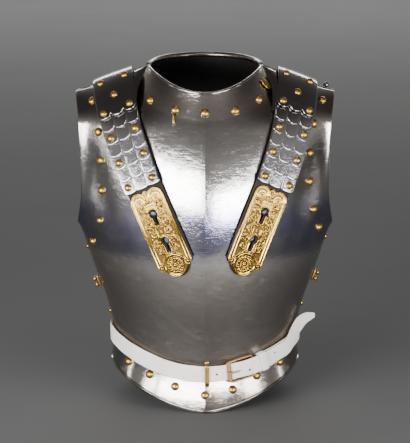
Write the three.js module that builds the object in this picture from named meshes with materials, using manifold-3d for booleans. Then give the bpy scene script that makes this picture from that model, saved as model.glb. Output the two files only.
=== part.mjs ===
// Steel cuirass of the nineteenth century: breastplate, backplate, scaled shoulder straps, waist belt.
// Millimetres, +Z up, the front faces -Y. Every piece is one closed solid in a Mesh of its own.
import * as THREE from 'three';
import Module from 'manifold-3d';

const wasm = await Module();
wasm.setup();

// ---------- driving sizes, mm ----------
const breastThick = 2.6;
const backThick = 1.6;
const seamLap = 10;                // how far the breastplate's side edge covers the backplate's
const seamGap = 1;
const seamY = 4;                   // side edge of the breastplate
const waistUp = 53;                // height of the waist crease on the ridge, above the hem
const armpitUp = 221;              // height on the ridge where the side seam ends
const chestUp = 390;               // last level section
const crestUp = 445;               // the neck and shoulder edge
const neckHalf = 76;
const shoulderHalf = 176;
const neckShare = 0.46;            // share of the half crest that is neck, the rest is shoulder
const armOpen = 31;                // how far the armhole cuts forward, degrees of the section
const keel = 0.18;                 // how sharp the ridge is
const bandWide = 38;               // band round the neck and arms that turns outward
const bandFlare = { arm: 6, neck: 4.5 };
const shift = [0, 13.5, 0];        // puts the middle of the whole box over the origin

// Level sections of the body. up: on the front ridge, side: at the seam, spine: on the back,
// half: half width, front and rear: depths from the seam to the ridge and to the spine.
const sections = [
  { up: 53, side: 88, spine: 55, half: 126.5, front: 117, rear: 96 },
  { up: 96, side: 130, spine: 98, half: 136.5, front: 125, rear: 99 },
  { up: 145, side: 173, spine: 148, half: 151.5, front: 137, rear: 108 },
  { up: 194, side: 216, spine: 198, half: 166, front: 147, rear: 119 },
  { up: 221, side: 240, spine: 226, half: 172.5, front: 151, rear: 124 },
  { up: 252, side: 267, spine: 257, half: 178, front: 152.5, rear: 128 },
  { up: 290, side: 301, spine: 294, half: 182, front: 151, rear: 130 },
  { up: 333, side: 339, spine: 335, half: 187.5, front: 145, rear: 130 },
  { up: 371, side: 373, spine: 372, half: 192, front: 136, rear: 127 },
  { up: 390, side: 390, spine: 390, half: 194, front: 130, rear: 124 },
];
const hem = { side: 47, half: 132, front: 131, rear: 111, levelRear: 0.5 };

// The neck and shoulder edges: y where the shoulders meet, depth and height of the neck at its middle.
const crest = {
  front: { y: -8, deep: 100, middle: 438, side: 463, corner: 426 },
  back: { y: -2, deep: 87, middle: 466, side: 464, corner: 427 },
};

// ---------- colours ----------
const steel = new THREE.MeshStandardMaterial({ name: 'steel', color: 0x8f9296, roughness: 0.28, metalness: 1 });
const brass = new THREE.MeshStandardMaterial({ name: 'brass', color: 0xb4893f, roughness: 0.35, metalness: 1 });
const brown = new THREE.MeshStandardMaterial({ name: 'brown_leather', color: 0x4a2f20, roughness: 0.7 });
const white = new THREE.MeshStandardMaterial({ name: 'white_leather', color: 0xd8d2c4, roughness: 0.65 });
const iron = new THREE.MeshStandardMaterial({ name: 'rusty_iron', color: 0x6b4a33, roughness: 0.6, metalness: 0.8 });

// ---------- small maths ----------
const vec = (x, y, z) => new THREE.Vector3(x, y, z);
const mix = (a, b, k) => a + (b - a) * k;
const clamp = THREE.MathUtils.clamp;
const rad = THREE.MathUtils.degToRad;
// Numbers from a to b in equal steps.
const spread = (a, b, count) => Array.from({ length: count + 1 }, (_, k) => mix(a, b, k / count));

// Natural cubic spline through (xs, ys).
function spline(xs, ys) {
  const n = xs.length;
  const bend = new Array(n).fill(0);
  const carry = new Array(n).fill(0);
  for (let i = 1; i < n - 1; i += 1) {
    const left = xs[i] - xs[i - 1];
    const right = xs[i + 1] - xs[i];
    const slopes = (ys[i + 1] - ys[i]) / right - (ys[i] - ys[i - 1]) / left;
    const pivot = 2 * (left + right) - left * carry[i - 1];
    carry[i] = right / pivot;
    bend[i] = (6 * slopes - left * bend[i - 1]) / pivot;
  }
  for (let i = n - 2; i > 0; i -= 1) bend[i] -= carry[i] * bend[i + 1];
  return (x) => {
    let k = 0;
    while (k < n - 2 && x > xs[k + 1]) k += 1;
    const h = xs[k + 1] - xs[k];
    const a = (xs[k + 1] - x) / h;
    const b = 1 - a;
    return a * ys[k] + b * ys[k + 1] + ((a ** 3 - a) * bend[k] + (b ** 3 - b) * bend[k + 1]) * h * h / 6;
  };
}

const along = {};
for (const column of ['side', 'spine', 'half', 'front', 'rear']) {
  along[column] = spline(sections.map((row) => row.up), sections.map((row) => row[column]));
}

// ---------- the surface of the body ----------
// Angle of the section where the plate ends: the seam below the armpit, the armhole above it.
const endAngle = (up) => 90 - armOpen * Math.tanh(Math.max(0, (up - armpitUp) / 50) ** 0.6);

// A point of a level section. across: 0 on the ridge or spine, 1 at the seam or armhole.
function sectionPoint(face, across, up) {
  const isFront = face === 'front';
  const level = Math.max(up, waistUp);
  const down = clamp(1 - up / waistUp, 0, 1);
  const turn = down * mix(0.45, 1, down);
  const waist = sections[0];
  const depth = isFront ? along.front(level) : along.rear(level);
  const depthOut = isFront ? hem.front - waist.front : hem.rear - waist.rear;
  const middle = (isFront ? level : along.spine(level)) * (1 - down);
  const side = along.side(level) + (hem.side - waist.side) * down;
  const half = along.half(level) + (hem.half - waist.half) * turn - (isFront ? 0 : breastThick + seamGap);
  const angle = rad(Math.abs(across) * endAngle(up));
  const sine = Math.sin(angle);
  const sharp = isFront ? keel : 0;
  const out = (depth + depthOut * turn) * ((1 - sharp) * Math.cos(angle) ** 0.88 + sharp * (1 - sine));
  const levelShare = isFront ? 0 : hem.levelRear * down;
  const reach = clamp((sine - levelShare) / (1 - levelShare), 0, 1);
  const straight = isFront ? 0.2 * down : 0;
  const z = middle + (side - middle) * ((1 - straight) * reach ** 2 + straight * reach);
  const y = isFront ? seamY - out : seamY - seamLap + out;
  return vec(Math.sign(across) * half * sine, y, z);
}

// A point of the crest, and the way the plate runs as it arrives there.
function crestPoint(face, across) {
  const edge = crest[face];
  const sign = face === 'front' ? -1 : 1;
  const share = Math.abs(across);
  const turn = rad(90 * Math.min(share / neckShare, 1));
  const past = clamp((share - neckShare) / (1 - neckShare), 0, 1);
  const x = neckHalf * Math.sin(turn) + (shoulderHalf - neckHalf) * past;
  const z = edge.middle + (edge.side - edge.middle) * Math.sin(turn) ** 2 + (edge.corner - edge.side) * past;
  const lean = Math.sin(turn) ** 2;
  const aside = lean ** 2 * (1 - Math.min(1, past / 0.35)) ** 2;
  const way = vec(0, -sign * mix(0.3, 0.95, lean), mix(0.92, 0.2, lean))
    .lerp(vec(-0.55 * Math.sign(across), -sign * 0.5, 0.6), aside);
  return {
    point: vec(Math.sign(across) * x, edge.y + sign * edge.deep * Math.cos(turn), z),
    way: way.normalize(),
  };
}

// The smooth body without its turned-out bands: level sections, then a rounded run up to the crest.
function bodyPoint(face, across, up) {
  if (up <= chestUp) return sectionPoint(face, across, up);
  const start = sectionPoint(face, across, chestUp);
  const startWay = start.clone().sub(sectionPoint(face, across, chestUp - 2)).normalize();
  const end = crestPoint(face, across);
  const span = start.distanceTo(end.point);
  const k = (up - chestUp) / (crestUp - chestUp);
  return start.multiplyScalar(2 * k ** 3 - 3 * k ** 2 + 1)
    .addScaledVector(startWay, span * (k ** 3 - 2 * k ** 2 + k))
    .addScaledVector(end.point, 3 * k ** 2 - 2 * k ** 3)
    .addScaledVector(end.way, span * (k ** 3 - k ** 2));
}

// Outward normal of a surface given as a function of (face, across, up).
function normalOf(surface, face, across, up) {
  const step = 0.004;
  const a = clamp(Math.abs(across), 2 * step, 1 - 2 * step);
  const u = clamp(up, 1, crestUp - 1);
  const alongRow = surface(face, a + step, u).sub(surface(face, a - step, u));
  const alongColumn = surface(face, a, u + 0.9).sub(surface(face, a, u - 0.9));
  const normal = alongRow.cross(alongColumn).normalize();
  if (face === 'back') normal.negate();
  if (across < 0) normal.x *= -1;
  if (Math.abs(across) < step) normal.x = 0;
  return normal.normalize();
}

// The edges that turn outward: both armholes, and the neck.
const edgeSteps = 64;
function bandEdge(face) {
  const ups = spread(armpitUp, crestUp, edgeSteps);
  return {
    arm: [-1, 1].flatMap((side) => ups.map((up) => bodyPoint(face, side, up))),
    neck: spread(-neckShare, neckShare, edgeSteps).map((share) => bodyPoint(face, share, crestUp)),
  };
}
const bandEdges = { front: bandEdge('front'), back: bandEdge('back') };

// How far the plate is turned outward at a point of the body.
function flareAt(face, across, up, point) {
  const near = (edge) => Math.min(...bandEdges[face][edge].map((spot) => spot.distanceTo(point)));
  const arm = clamp(1 - near('arm') / bandWide, 0, 1);
  const neck = clamp(1 - near('neck') / bandWide, 0, 1);
  const fromSeam = clamp((Math.abs(point.y - seamY) - 8) / 26, 0, 1);
  const onShoulder = clamp((up - chestUp) / (crestUp - chestUp), 0, 1);
  const besideNeck = Math.sin(rad(90 * Math.min(Math.abs(across) / neckShare, 1))) ** 2;
  const armFade = up > chestUp ? 1 - 0.5 * onShoulder : fromSeam;
  const atArm = bandFlare.arm * (0.35 * arm + 0.65 * arm ** 2) * armFade;
  const atNeck = bandFlare.neck * (0.25 * neck + 0.75 * neck ** 3) * (1 - 0.8 * onShoulder * besideNeck);
  return Math.max(atArm, atNeck);
}

function skin(face, across, up) {
  const point = bodyPoint(face, across, up);
  const flare = flareAt(face, across, up, point);
  return point.addScaledVector(normalOf(bodyPoint, face, across, up), flare);
}

// Finds where the surface has the given x and z, and returns the point and its normal.
function spotOn(face, x, z) {
  let across = x / 180;
  let up = clamp(z, 20, crestUp - 12);
  for (let turn = 0; turn < 30; turn += 1) {
    const at = skin(face, across, up);
    const stepA = skin(face, across + 0.002, up).sub(at).divideScalar(0.002);
    const stepU = skin(face, across, up + 0.4).sub(at).divideScalar(0.4);
    const det = stepA.x * stepU.z - stepU.x * stepA.z;
    const dx = x - at.x;
    const dz = z - at.z;
    across = clamp(across + clamp((dx * stepU.z - dz * stepU.x) / det, -0.1, 0.1), -1, 1);
    up = clamp(up + clamp((dz * stepA.x - dx * stepA.z) / det, -15, 15), 0, crestUp);
  }
  return { point: skin(face, across, up), normal: normalOf(skin, face, across, up) };
}

// ---------- solids ----------
// A closed solid between two grids of points of equal size; outer[i][j] lies over inner[i][j].
function slab(outer, inner) {
  const rows = outer.length;
  const columns = outer[0].length;
  const positions = [];
  for (const grid of [outer, inner]) for (const row of grid) for (const p of row) positions.push(p.x, p.y, p.z);
  const id = (layer, i, j) => (layer * rows + i) * columns + j;
  const index = [];
  const quad = (a, b, c, d) => index.push(a, b, c, a, c, d);
  for (let i = 0; i < rows - 1; i += 1) {
    for (let j = 0; j < columns - 1; j += 1) {
      quad(id(0, i, j), id(0, i, j + 1), id(0, i + 1, j + 1), id(0, i + 1, j));
      quad(id(1, i, j), id(1, i + 1, j), id(1, i + 1, j + 1), id(1, i, j + 1));
    }
    quad(id(0, i, 0), id(0, i + 1, 0), id(1, i + 1, 0), id(1, i, 0));
    quad(id(0, i + 1, columns - 1), id(0, i, columns - 1), id(1, i, columns - 1), id(1, i + 1, columns - 1));
  }
  for (let j = 0; j < columns - 1; j += 1) {
    quad(id(0, 0, j + 1), id(0, 0, j), id(1, 0, j), id(1, 0, j + 1));
    quad(id(0, rows - 1, j), id(0, rows - 1, j + 1), id(1, rows - 1, j + 1), id(1, rows - 1, j));
  }
  return facingOut(positions, index);
}

// Geometry whose triangles face outward, whichever way they were listed.
function facingOut(positions, index) {
  const at = (k) => vec(positions[3 * k], positions[3 * k + 1], positions[3 * k + 2]);
  let volume = 0;
  for (let k = 0; k < index.length; k += 3) {
    volume += at(index[k]).dot(at(index[k + 1]).cross(at(index[k + 2])));
  }
  if (volume < 0) for (let k = 0; k < index.length; k += 3) [index[k], index[k + 1]] = [index[k + 1], index[k]];
  const geometry = new THREE.BufferGeometry();
  geometry.setAttribute('position', new THREE.Float32BufferAttribute(positions, 3));
  geometry.setIndex(index);
  geometry.computeVertexNormals();
  return geometry;
}

// A round bar of the given radius whose middle runs through a closed ring of points.
function ringBar(points, radius, sides = 6) {
  const count = points.length;
  const positions = [];
  const index = [];
  const middle = points.reduce((sum, p) => sum.add(p), vec(0, 0, 0)).divideScalar(count);
  const axis = points[1].clone().sub(points[0]).cross(points[2].clone().sub(points[1])).normalize();
  points.forEach((p, i) => {
    const way = points[(i + 1) % count].clone().sub(points[(i + count - 1) % count]).normalize();
    const out = way.clone().cross(axis).normalize();
    if (out.dot(p.clone().sub(middle)) < 0) out.negate();
    for (let k = 0; k < sides; k += 1) {
      const angle = (k / sides) * 2 * Math.PI;
      const q = p.clone().addScaledVector(out, radius * Math.cos(angle)).addScaledVector(axis, radius * Math.sin(angle));
      positions.push(q.x, q.y, q.z);
      const a = i * sides + k;
      const b = i * sides + (k + 1) % sides;
      const c = ((i + 1) % count) * sides + (k + 1) % sides;
      const d = ((i + 1) % count) * sides + k;
      index.push(a, b, c, a, c, d);
    }
  });
  return facingOut(positions, index);
}

function toManifold(geometry) {
  const numbers = geometry.attributes.position.array;
  const triVerts = geometry.index ? geometry.index.array : Uint32Array.from({ length: numbers.length / 3 }, (_, k) => k);
  const mesh = new wasm.Mesh({
    numProp: 3,
    vertProperties: Float32Array.from(numbers),
    triVerts: Uint32Array.from(triVerts),
  });
  mesh.merge();
  return new wasm.Manifold(mesh);
}

function fromManifold(solid) {
  const mesh = solid.getMesh();
  const geometry = new THREE.BufferGeometry();
  geometry.setAttribute('position', new THREE.Float32BufferAttribute(mesh.vertProperties, 3));
  geometry.setIndex(new THREE.Uint32BufferAttribute(mesh.triVerts, 1));
  geometry.computeVertexNormals();
  return geometry;
}

// A geometry moved so that its +Z points along normal and its origin lies at point.
function placed(geometry, point, normal, rise = 0) {
  const turned = new THREE.Quaternion().setFromUnitVectors(vec(0, 0, 1), normal);
  const at = point.clone().addScaledVector(normal, rise);
  return geometry.clone().applyMatrix4(new THREE.Matrix4().compose(at, turned, vec(1, 1, 1)));
}

// A rivet's domed head on a flat underside, standing on z = 0; sink adds a shank below.
function dome(radius, height, sink = 0, sides = 8) {
  const profile = [new THREE.Vector2(0, 0), new THREE.Vector2(radius, 0)];
  profile.push(new THREE.Vector2(radius * 0.93, height * 0.4), new THREE.Vector2(radius * 0.6, height * 0.84));
  profile.push(new THREE.Vector2(0, height));
  if (sink > 0) {
    profile.splice(0, 1, new THREE.Vector2(0, -sink), new THREE.Vector2(radius * 0.5, -sink), new THREE.Vector2(radius * 0.5, 0));
  }
  return new THREE.LatheGeometry(profile, sides).rotateX(Math.PI / 2);
}

const cuirass = new THREE.Group();
cuirass.position.fromArray(shift);

function add(name, geometry, material) {
  const mesh = new THREE.Mesh(geometry, material);
  mesh.name = name;
  cuirass.add(mesh);
  return mesh;
}

function addAt(name, geometry, material, point, normal, rise) {
  const mesh = add(name, geometry, material);
  mesh.quaternion.setFromUnitVectors(vec(0, 0, 1), normal);
  mesh.position.copy(point).addScaledVector(normal, rise);
  return mesh;
}

// ---------- the two plates ----------
const plateColumns = {
  front: [0, 0.1, 0.2, 0.3, 0.385, neckShare, 0.56, 0.67, 0.77, 0.86, 0.935, 1],
  back: [0, 0.16, 0.31, neckShare, 0.6, 0.74, 0.87, 1],
};
const sideRows = [0, 27, waistUp, 73, 96, 120, 145, 169, 194, 210, armpitUp, 228, 240];
const plateRows = {
  front: [...sideRows, 258, 284, 312, 340, 366, chestUp, 404, 418, 431, crestUp],
  back: [...sideRows, 260, 300, 345, chestUp, 408, 427, crestUp],
};

function plate(face, thick) {
  const half = plateColumns[face];
  const columns = [...half.slice(1).map((share) => -share).reverse(), ...half];
  const outer = plateRows[face].map((up) => columns.map((across) => skin(face, across, up)));
  const inner = plateRows[face].map((up, i) => columns.map((across, j) => {
    const normal = normalOf(skin, face, across, up);
    if (up === 0) normal.setZ(0).normalize();
    return outer[i][j].clone().addScaledVector(normal, -thick);
  }));
  return slab(outer, inner);
}

// Height on the ridge of the section whose side lies at height z.
function upAtSeam(z) {
  let up = z;
  for (let turn = 0; turn < 12; turn += 1) up += z - along.side(up);
  return up;
}

const seamRivets = { left: [209, 116], right: [223, 127] };
const backRivets = [[56, 376], [143, 300], [143, 356], [48, 28]];

// A small ball on a stem, on the backplate's right shoulder.
const shoulderBall = { x: 167, z: 427, radius: 3.8, stem: 1.9, rise: 5.5 };
function shoulderBallSolid() {
  const { radius, stem, rise } = shoulderBall;
  const profile = [[0, 0], [stem, 0], [stem, rise - 3], [radius, rise], [radius * 0.7, rise + 3], [0, rise + 4]];
  return new THREE.LatheGeometry(profile.map(([r, h]) => new THREE.Vector2(r, h)), 7).rotateX(Math.PI / 2);
}

function breastplate() {
  let solid = toManifold(plate('front', breastThick));
  for (const [side, heights] of [[-1, seamRivets.left], [1, seamRivets.right]]) {
    for (const z of heights) {
      const at = ['front', side * 0.955, upAtSeam(z)];
      solid = solid.add(toManifold(placed(dome(3.6, 2.6, 1.4, 6), skin(...at), normalOf(skin, ...at))));
    }
  }
  return fromManifold(solid);
}

function backplate() {
  let solid = toManifold(plate('back', backThick));
  for (const [x, z] of backRivets) {
    for (const side of [-1, 1]) {
      const spot = spotOn('back', side * x, z);
      solid = solid.add(toManifold(placed(dome(6, 4.5, 0.9, 6), spot.point, spot.normal, -0.5)));
    }
  }
  const ball = spotOn('back', shoulderBall.x, shoulderBall.z);
  return fromManifold(solid.add(toManifold(placed(shoulderBallSolid(), ball.point, ball.normal, -0.6))));
}

add('breastplate', breastplate(), steel);
add('backplate', backplate(), steel);

// ---------- brass rivets on the breastplate ----------
const rivetRadius = 6;
const rivetHeight = 4.6;
const rivetRise = 0.7;
const rivets = {
  neck: [[-74, 427], [-40, 417], [0, 414], [41, 416], [73, 428]],
  arm_left: [[-153, 420], [-144, 382], [-141, 344], [-140, 303], [-143, 260], [-154, 226]],
  arm_right: [[160, 420], [147, 393], [142, 354], [142, 315], [148, 275], [156, 247]],
  skirt: [[-106, 56], [-76, 45], [-41, 33], [0, 24], [38, 29], [71, 44], [104, 56]],
};
for (const [place, spots] of Object.entries(rivets)) {
  spots.forEach(([x, z], k) => {
    const spot = spotOn('front', x, z);
    addAt(`rivet_${place}_${k + 1}`, dome(rivetRadius, rivetHeight, 0, 7), brass, spot.point, spot.normal, rivetRise);
  });
}

// ---------- routes: a smooth path with a frame that follows the body ----------
// knots: [{ point, normal }]. Gives at(length) => { point, along, across, normal }.
function route(knots) {
  const lengths = [0];
  for (let k = 1; k < knots.length; k += 1) {
    lengths.push(lengths[k - 1] + knots[k].point.distanceTo(knots[k - 1].point));
  }
  const track = (pick) => spline(lengths, knots.map(pick));
  const tracks = ['x', 'y', 'z'].map((axis) => [track((k) => k.point[axis]), track((k) => k.normal[axis])]);
  const pointAt = (l) => vec(tracks[0][0](l), tracks[1][0](l), tracks[2][0](l));
  const total = lengths[lengths.length - 1];
  const at = (l) => {
    const way = pointAt(l + 0.5).sub(pointAt(l - 0.5)).normalize();
    const raw = vec(tracks[0][1](l), tracks[1][1](l), tracks[2][1](l));
    const across = way.clone().cross(raw).normalize();
    return { point: pointAt(l), along: way, across, normal: across.clone().cross(way) };
  };
  return { at, total, stops: lengths };
}

// A point beside a route: w across it, l along it, h above it.
function beside(path, w, l, h) {
  const spot = path.at(l);
  return spot.point.addScaledVector(spot.across, w).addScaledVector(spot.normal, h);
}

// A slab over a route: grid[i][j] = [w, l], with its two faces at heights top and bottom.
function over(path, grid, top, bottom) {
  const face = (height) => grid.map((row) => row.map(([w, l]) => beside(path, w, l, height(w, l))));
  return slab(face(top), face(bottom));
}

// ---------- shoulder straps ----------
const strapLift = 2;               // space under the leather
const leather = { half: 27, thick: 2.2, from: 2, bendFrom: 196, inward: 1 };
const scale = {
  half: 28, thick: 1, low: 3, rise: 2.4, pitch: 17.5, lap: 5, first: 128.5, rows: 6, lobes: 3, cut: 6,
};
const strapRivet = { radius: 5.3, height: 3.6, across: 19.3, up: 9 };
const cap = { thick: 1.2, from: 233.5, level: 3.3, rivets: [[-19.3, 242], [19.3, 242], [0, 268], [-17.5, 304], [17.5, 304]] };
const strapRoutes = {
  left: {
    front: [[-31, 196], [-52.5, 247], [-82.5, 317], [-99.5, 362], [-108.5, 388], [-115.5, 410], [-120.5, 427]],
    crest: -125.5,
    back: [[-126, 430], [-125, 415], [-123, 394], [-119, 364]],
  },
  right: {
    front: [[45, 196], [63.5, 247], [91.5, 317], [107, 362], [114, 388], [119, 410], [123, 427]],
    crest: 125.5,
    back: [[126, 430], [125, 415], [123, 394], [119, 364]],
  },
};

function strapPath({ front, crest: x, back }) {
  const lifted = (spot) => ({ point: spot.point.addScaledVector(spot.normal, strapLift), normal: spot.normal });
  const share = neckShare + (1 - neckShare) * (Math.abs(x) - neckHalf) / (shoulderHalf - neckHalf);
  const middle = crestPoint('front', Math.sign(x) * share).point.setY((crest.front.y + crest.back.y) / 2);
  const slope = (crest.front.side - crest.front.corner) / (shoulderHalf - neckHalf);
  const top = { point: middle.setZ(middle.z + 1), normal: vec(Math.sign(x) * slope, 0, 1).normalize() };
  return route([
    ...front.map(([a, b]) => lifted(spotOn('front', a, b))),
    lifted(top),
    ...back.map(([a, b]) => lifted(spotOn('back', a, b))),
  ]);
}

const sweep = (path, half, from, to, count) => spread(from, to, count).map((l) => [-half, half].map((w) => [w, l]));

const strapRivetHead = () => dome(strapRivet.radius, strapRivet.height, 0.8, 6);

function scaleRow(path, k) {
  const low = scale.first + k * scale.pitch;
  const high = low + scale.pitch + scale.lap;
  const lobe = (2 * scale.half) / scale.lobes;
  const widths = spread(-scale.half, scale.half, scale.lobes * 4);
  const lower = (w) => {
    const off = ((w + scale.half) / lobe) % 1;
    return low + scale.cut * (1 - Math.sqrt(clamp(1 - (2 * off - 1) ** 2, 0, 1)));
  };
  const grid = [widths.map((w) => [w, lower(w)]), widths.map((w) => [w, high])];
  const base = (w, l) => scale.low + scale.rise * clamp((high - l) / (high - low), 0, 1);
  let geometry = over(path, grid, (w, l) => base(w, l) + scale.thick, base);
  if (k % 2 === 0) {
    let solid = toManifold(geometry);
    const l = low + strapRivet.up;
    for (const w of [-strapRivet.across, strapRivet.across]) {
      const seat = beside(path, w, l, base(w, l) + scale.thick - 0.4);
      solid = solid.add(toManifold(placed(strapRivetHead(), seat, path.at(l).normal)));
    }
    geometry = fromManifold(solid);
  }
  return geometry;
}

function shoulderCap(path) {
  const rear = path.total - 14;
  const stepsFrom = rear - 3 * scale.pitch;
  const lengths = spread(cap.from, stepsFrom, 10);
  for (let l = stepsFrom + scale.pitch; l < rear + 1; l += scale.pitch) lengths.push(l - scale.pitch / 2, l - 0.4, l);
  const under = (l) => cap.level + (scale.rise + 1) * clamp((cap.from + 14 - l) / 14, 0, 1);
  const pastRow = (l) => (l - stepsFrom) / scale.pitch - Math.floor((l - stepsFrom) / scale.pitch - 1e-6);
  const step = (l) => (l > stepsFrom ? 1.4 * (pastRow(l) - 0.01) : 0);
  const grid = lengths.map((l) => [[-scale.half, l], [scale.half, l]]);
  const geometry = over(path, grid, (w, l) => under(l) + cap.thick + step(l), (w, l) => under(l));
  let solid = toManifold(geometry);
  for (const [w, l] of cap.rivets) {
    const seat = beside(path, w, l, under(l) + cap.thick - 0.3);
    solid = solid.add(toManifold(placed(strapRivetHead(), seat, path.at(l).normal)));
  }
  return fromManifold(solid);
}

// ---------- brass end plates ----------
const endPlate = { half: 25.5, low: 2.6, thick: 1.8, rim: 2.6, raise: 1.2, lobeAt: 113, lobe: 12.75 };
const rosette = { at: 18, radius: 17, height: 3.4 };
const keyhole = { radius: 5.8, slot: 3.1, reach: 16, places: [53.5, 92.5] };

const endPlateLow = (w) => {
  const reach = Math.min(Math.abs(w), 15.5);
  const round = rosette.at - Math.sqrt((rosette.radius + 1) ** 2 - reach ** 2);
  return round + Math.max(0, Math.abs(w) - 15.5) * 0.6;
};
const endPlateHigh = (w) => {
  const off = (Math.abs(w) - endPlate.lobe) / endPlate.lobe;
  return endPlate.lobeAt + endPlate.lobe * Math.sqrt(Math.max(0, 1 - off ** 2));
};

// A keyhole's outline about the middle of its round part, with the slot running down -y.
function keyholeShape() {
  const start = Math.asin(keyhole.slot / keyhole.radius);
  const shape = new THREE.Shape();
  shape.absarc(0, 0, keyhole.radius, -Math.PI / 2 + start, 1.5 * Math.PI - start, false);
  shape.lineTo(-keyhole.slot, -keyhole.reach);
  shape.lineTo(keyhole.slot, -keyhole.reach);
  return shape;
}

// Cuts the keyholes through a piece that lies along a route.
function withKeyholes(solid, path) {
  let open = solid;
  for (const l of keyhole.places) {
    const spot = path.at(l);
    const basis = new THREE.Matrix4().makeBasis(spot.across, spot.along, spot.normal).setPosition(spot.point);
    const cutter = new THREE.ExtrudeGeometry(keyholeShape(), { depth: 16, bevelEnabled: false, curveSegments: 5 });
    open = open.subtract(toManifold(cutter.translate(0, 0, -4).applyMatrix4(basis)));
  }
  return open;
}

function strapLeather(path, inward) {
  const { half, from, thick, bendFrom } = leather;
  const lengths = [from, from + 1.5, from + 5, from + 10, ...spread(rosette.at + 2, bendFrom, 8)];
  lengths.push(...spread(bendFrom, path.total, 13).slice(1));
  const halfAt = (l) => (l < rosette.at + 1 ? Math.sqrt(Math.max(4, 18 ** 2 - (rosette.at + 1 - l) ** 2)) : half);
  const grid = lengths.map((l) => [-1, 1].map((side) => [side * halfAt(l) + inward * leather.inward, l]));
  const strip = over(path, grid, () => thick, () => 0);
  return fromManifold(withKeyholes(toManifold(strip), path));
}

function endPlateSolid(path) {
  const inner = endPlate.half - endPlate.rim;
  const side = [endPlate.half, inner + 0.5, inner - 0.3, endPlate.lobe + 1, endPlate.lobe / 2];
  const widths = [...side.map((w) => -w), 0, ...side.reverse()];
  const shares = [0, 0.02, 0.026, 0.26, 0.5, 0.74, 0.974, 0.98, 1];
  const grid = shares.map((share) => widths.map((w) => [w, mix(endPlateLow(w), endPlateHigh(w), share), share]));
  const onRim = (w, share) => Math.abs(w) > inner || share < 0.023 || share > 0.977;
  const top = grid.map((row) => row.map(([w, l, share]) => beside(path, w, l,
    endPlate.low + endPlate.thick + (onRim(w, share) ? endPlate.raise : 0))));
  const bottom = grid.map((row) => row.map(([w, l]) => beside(path, w, l, endPlate.low)));
  const solid = withKeyholes(toManifold(slab(top, bottom)), path);
  const seat = beside(path, 0, rosette.at, endPlate.low + endPlate.thick);
  const boss = dome(rosette.radius - 3, rosette.height, 0.8, 10);
  return fromManifold(solid.add(toManifold(placed(boss, seat, path.at(rosette.at).normal))));
}

function studSolid(height) {
  const profile = [[0, 0], [4.6, 0], [4.6, height - 1.2], [3.4, height], [0, height + 0.6]];
  return new THREE.LatheGeometry(profile.map(([r, h]) => new THREE.Vector2(r, h)), 10).rotateX(Math.PI / 2);
}

for (const [name, plan] of Object.entries(strapRoutes)) {
  const path = strapPath(plan);
  add(`strap_leather_${name}`, strapLeather(path, name === 'left' ? 1 : -1), brown);
  for (let k = 0; k < scale.rows; k += 1) add(`scale_${name}_${k + 1}`, scaleRow(path, k), steel);
  add(`shoulder_cap_${name}`, shoulderCap(path), steel);
  add(`end_plate_${name}`, endPlateSolid(path), brass);
  const hooked = path.at(keyhole.places[1]);
  addAt(`stud_${name}`, studSolid(endPlate.low + endPlate.thick + 1.6), steel, hooked.point, hooked.normal, 0);
}

// ---------- waist belt ----------
// The ring round the waist crease: 0 in the middle of the front, 1 at the right seam, past 1 on the back.
function waistSpot(turn) {
  const face = Math.abs(turn) < 1 ? 'front' : 'back';
  const across = face === 'front' ? turn : Math.sign(turn) * (2 - Math.abs(turn));
  return skin(face, across, waistUp);
}

const belt = { half: 11.5, thick: 2.4, clear: 4.6, spare: 0.5, taper: 34, tip: 2.5 };
const innerRise = belt.clear + belt.thick / 2;
const outerRise = innerRise + belt.thick + belt.spare;
const buckle = { turn: 0.245, halfLong: 18.5, halfWide: 14.6, corner: 4, bar: 1.6, nearRise: 9.4, farRise: 7 };
const tongue = { from: -21.5, to: -4, half: 1.3, thick: 2.2, nearRise: 12.8, farRise: 11.5 };
const keeper = { turn: 0.402, half: 5, wall: 1, halfWide: 12.2, low: 4.2, high: 12.8 };
const loop = { turn: 0.012, half: 2.2, halfWide: 17, foot: 3.6, over: 7.7, thick: 1.8 };

const level = (turns, rise) => turns.map((turn) => [turn, rise]);

// A route round the waist through rows of turn and rise (the belt's middle above the crease);
// a free tail goes on from there in steps away from the last row.
function waistRoute(rows, tail = []) {
  const knots = rows.map(([turn, rise]) => {
    const way = waistSpot(turn + 0.02).sub(waistSpot(turn - 0.02));
    const out = vec(way.y, -way.x, 0).normalize();
    const lap = Math.abs(turn) > 1 ? breastThick + seamGap : 0;
    return { point: waistSpot(turn).addScaledVector(out, rise + lap), normal: out };
  });
  const last = knots[knots.length - 1];
  for (const { step, facing } of tail) {
    knots.push({ point: last.point.clone().add(vec(...step)), normal: vec(...facing).normalize() });
  }
  return route(knots);
}

// The same route close by one turn, and its length where it passes that turn.
function waistNear(turn) {
  const path = waistRoute(level([turn - 0.2, turn - 0.1, turn, turn + 0.1, turn + 0.2], 0));
  return { path, middle: path.stops[2] };
}

// A strip of belt; over the last taper of its length it narrows to a blunt tip.
function beltStrip(path, count, taper = 0) {
  const halfAt = (l) => (taper > 0 ? mix(belt.tip, belt.half, clamp((path.total - l) / taper, 0, 1) ** 0.7) : belt.half);
  const grid = spread(0, path.total, count).map((l) => [-1, 1].map((side) => [side * halfAt(l), l]));
  return over(path, grid, () => belt.thick / 2, () => -belt.thick / 2);
}

const longRoute = waistRoute([
  ...level([-1.4, -1.25, -1.1, -0.93, -0.7, -0.5, -0.3, -0.1, 0.08], innerRise),
  [0.18, innerRise + 0.8],
  [0.28, outerRise + 1],
  [0.38, outerRise + 1.6],
  [0.48, outerRise + 0.6],
  [0.56, outerRise],
  [0.64, outerRise + 0.3],
], [
  { step: [9, 14, 14], facing: [0.82, -0.57, 0] },
  { step: [22, 29, 30], facing: [0.76, -0.65, 0] },
  { step: [40, 46, 33], facing: [0.7, -0.72, 0] },
]);
const shortRoute = waistRoute(level([0.39, 0.5, 0.6, 0.7, 0.82, 0.93, 1.1, 1.25, 1.4], innerRise));

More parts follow.
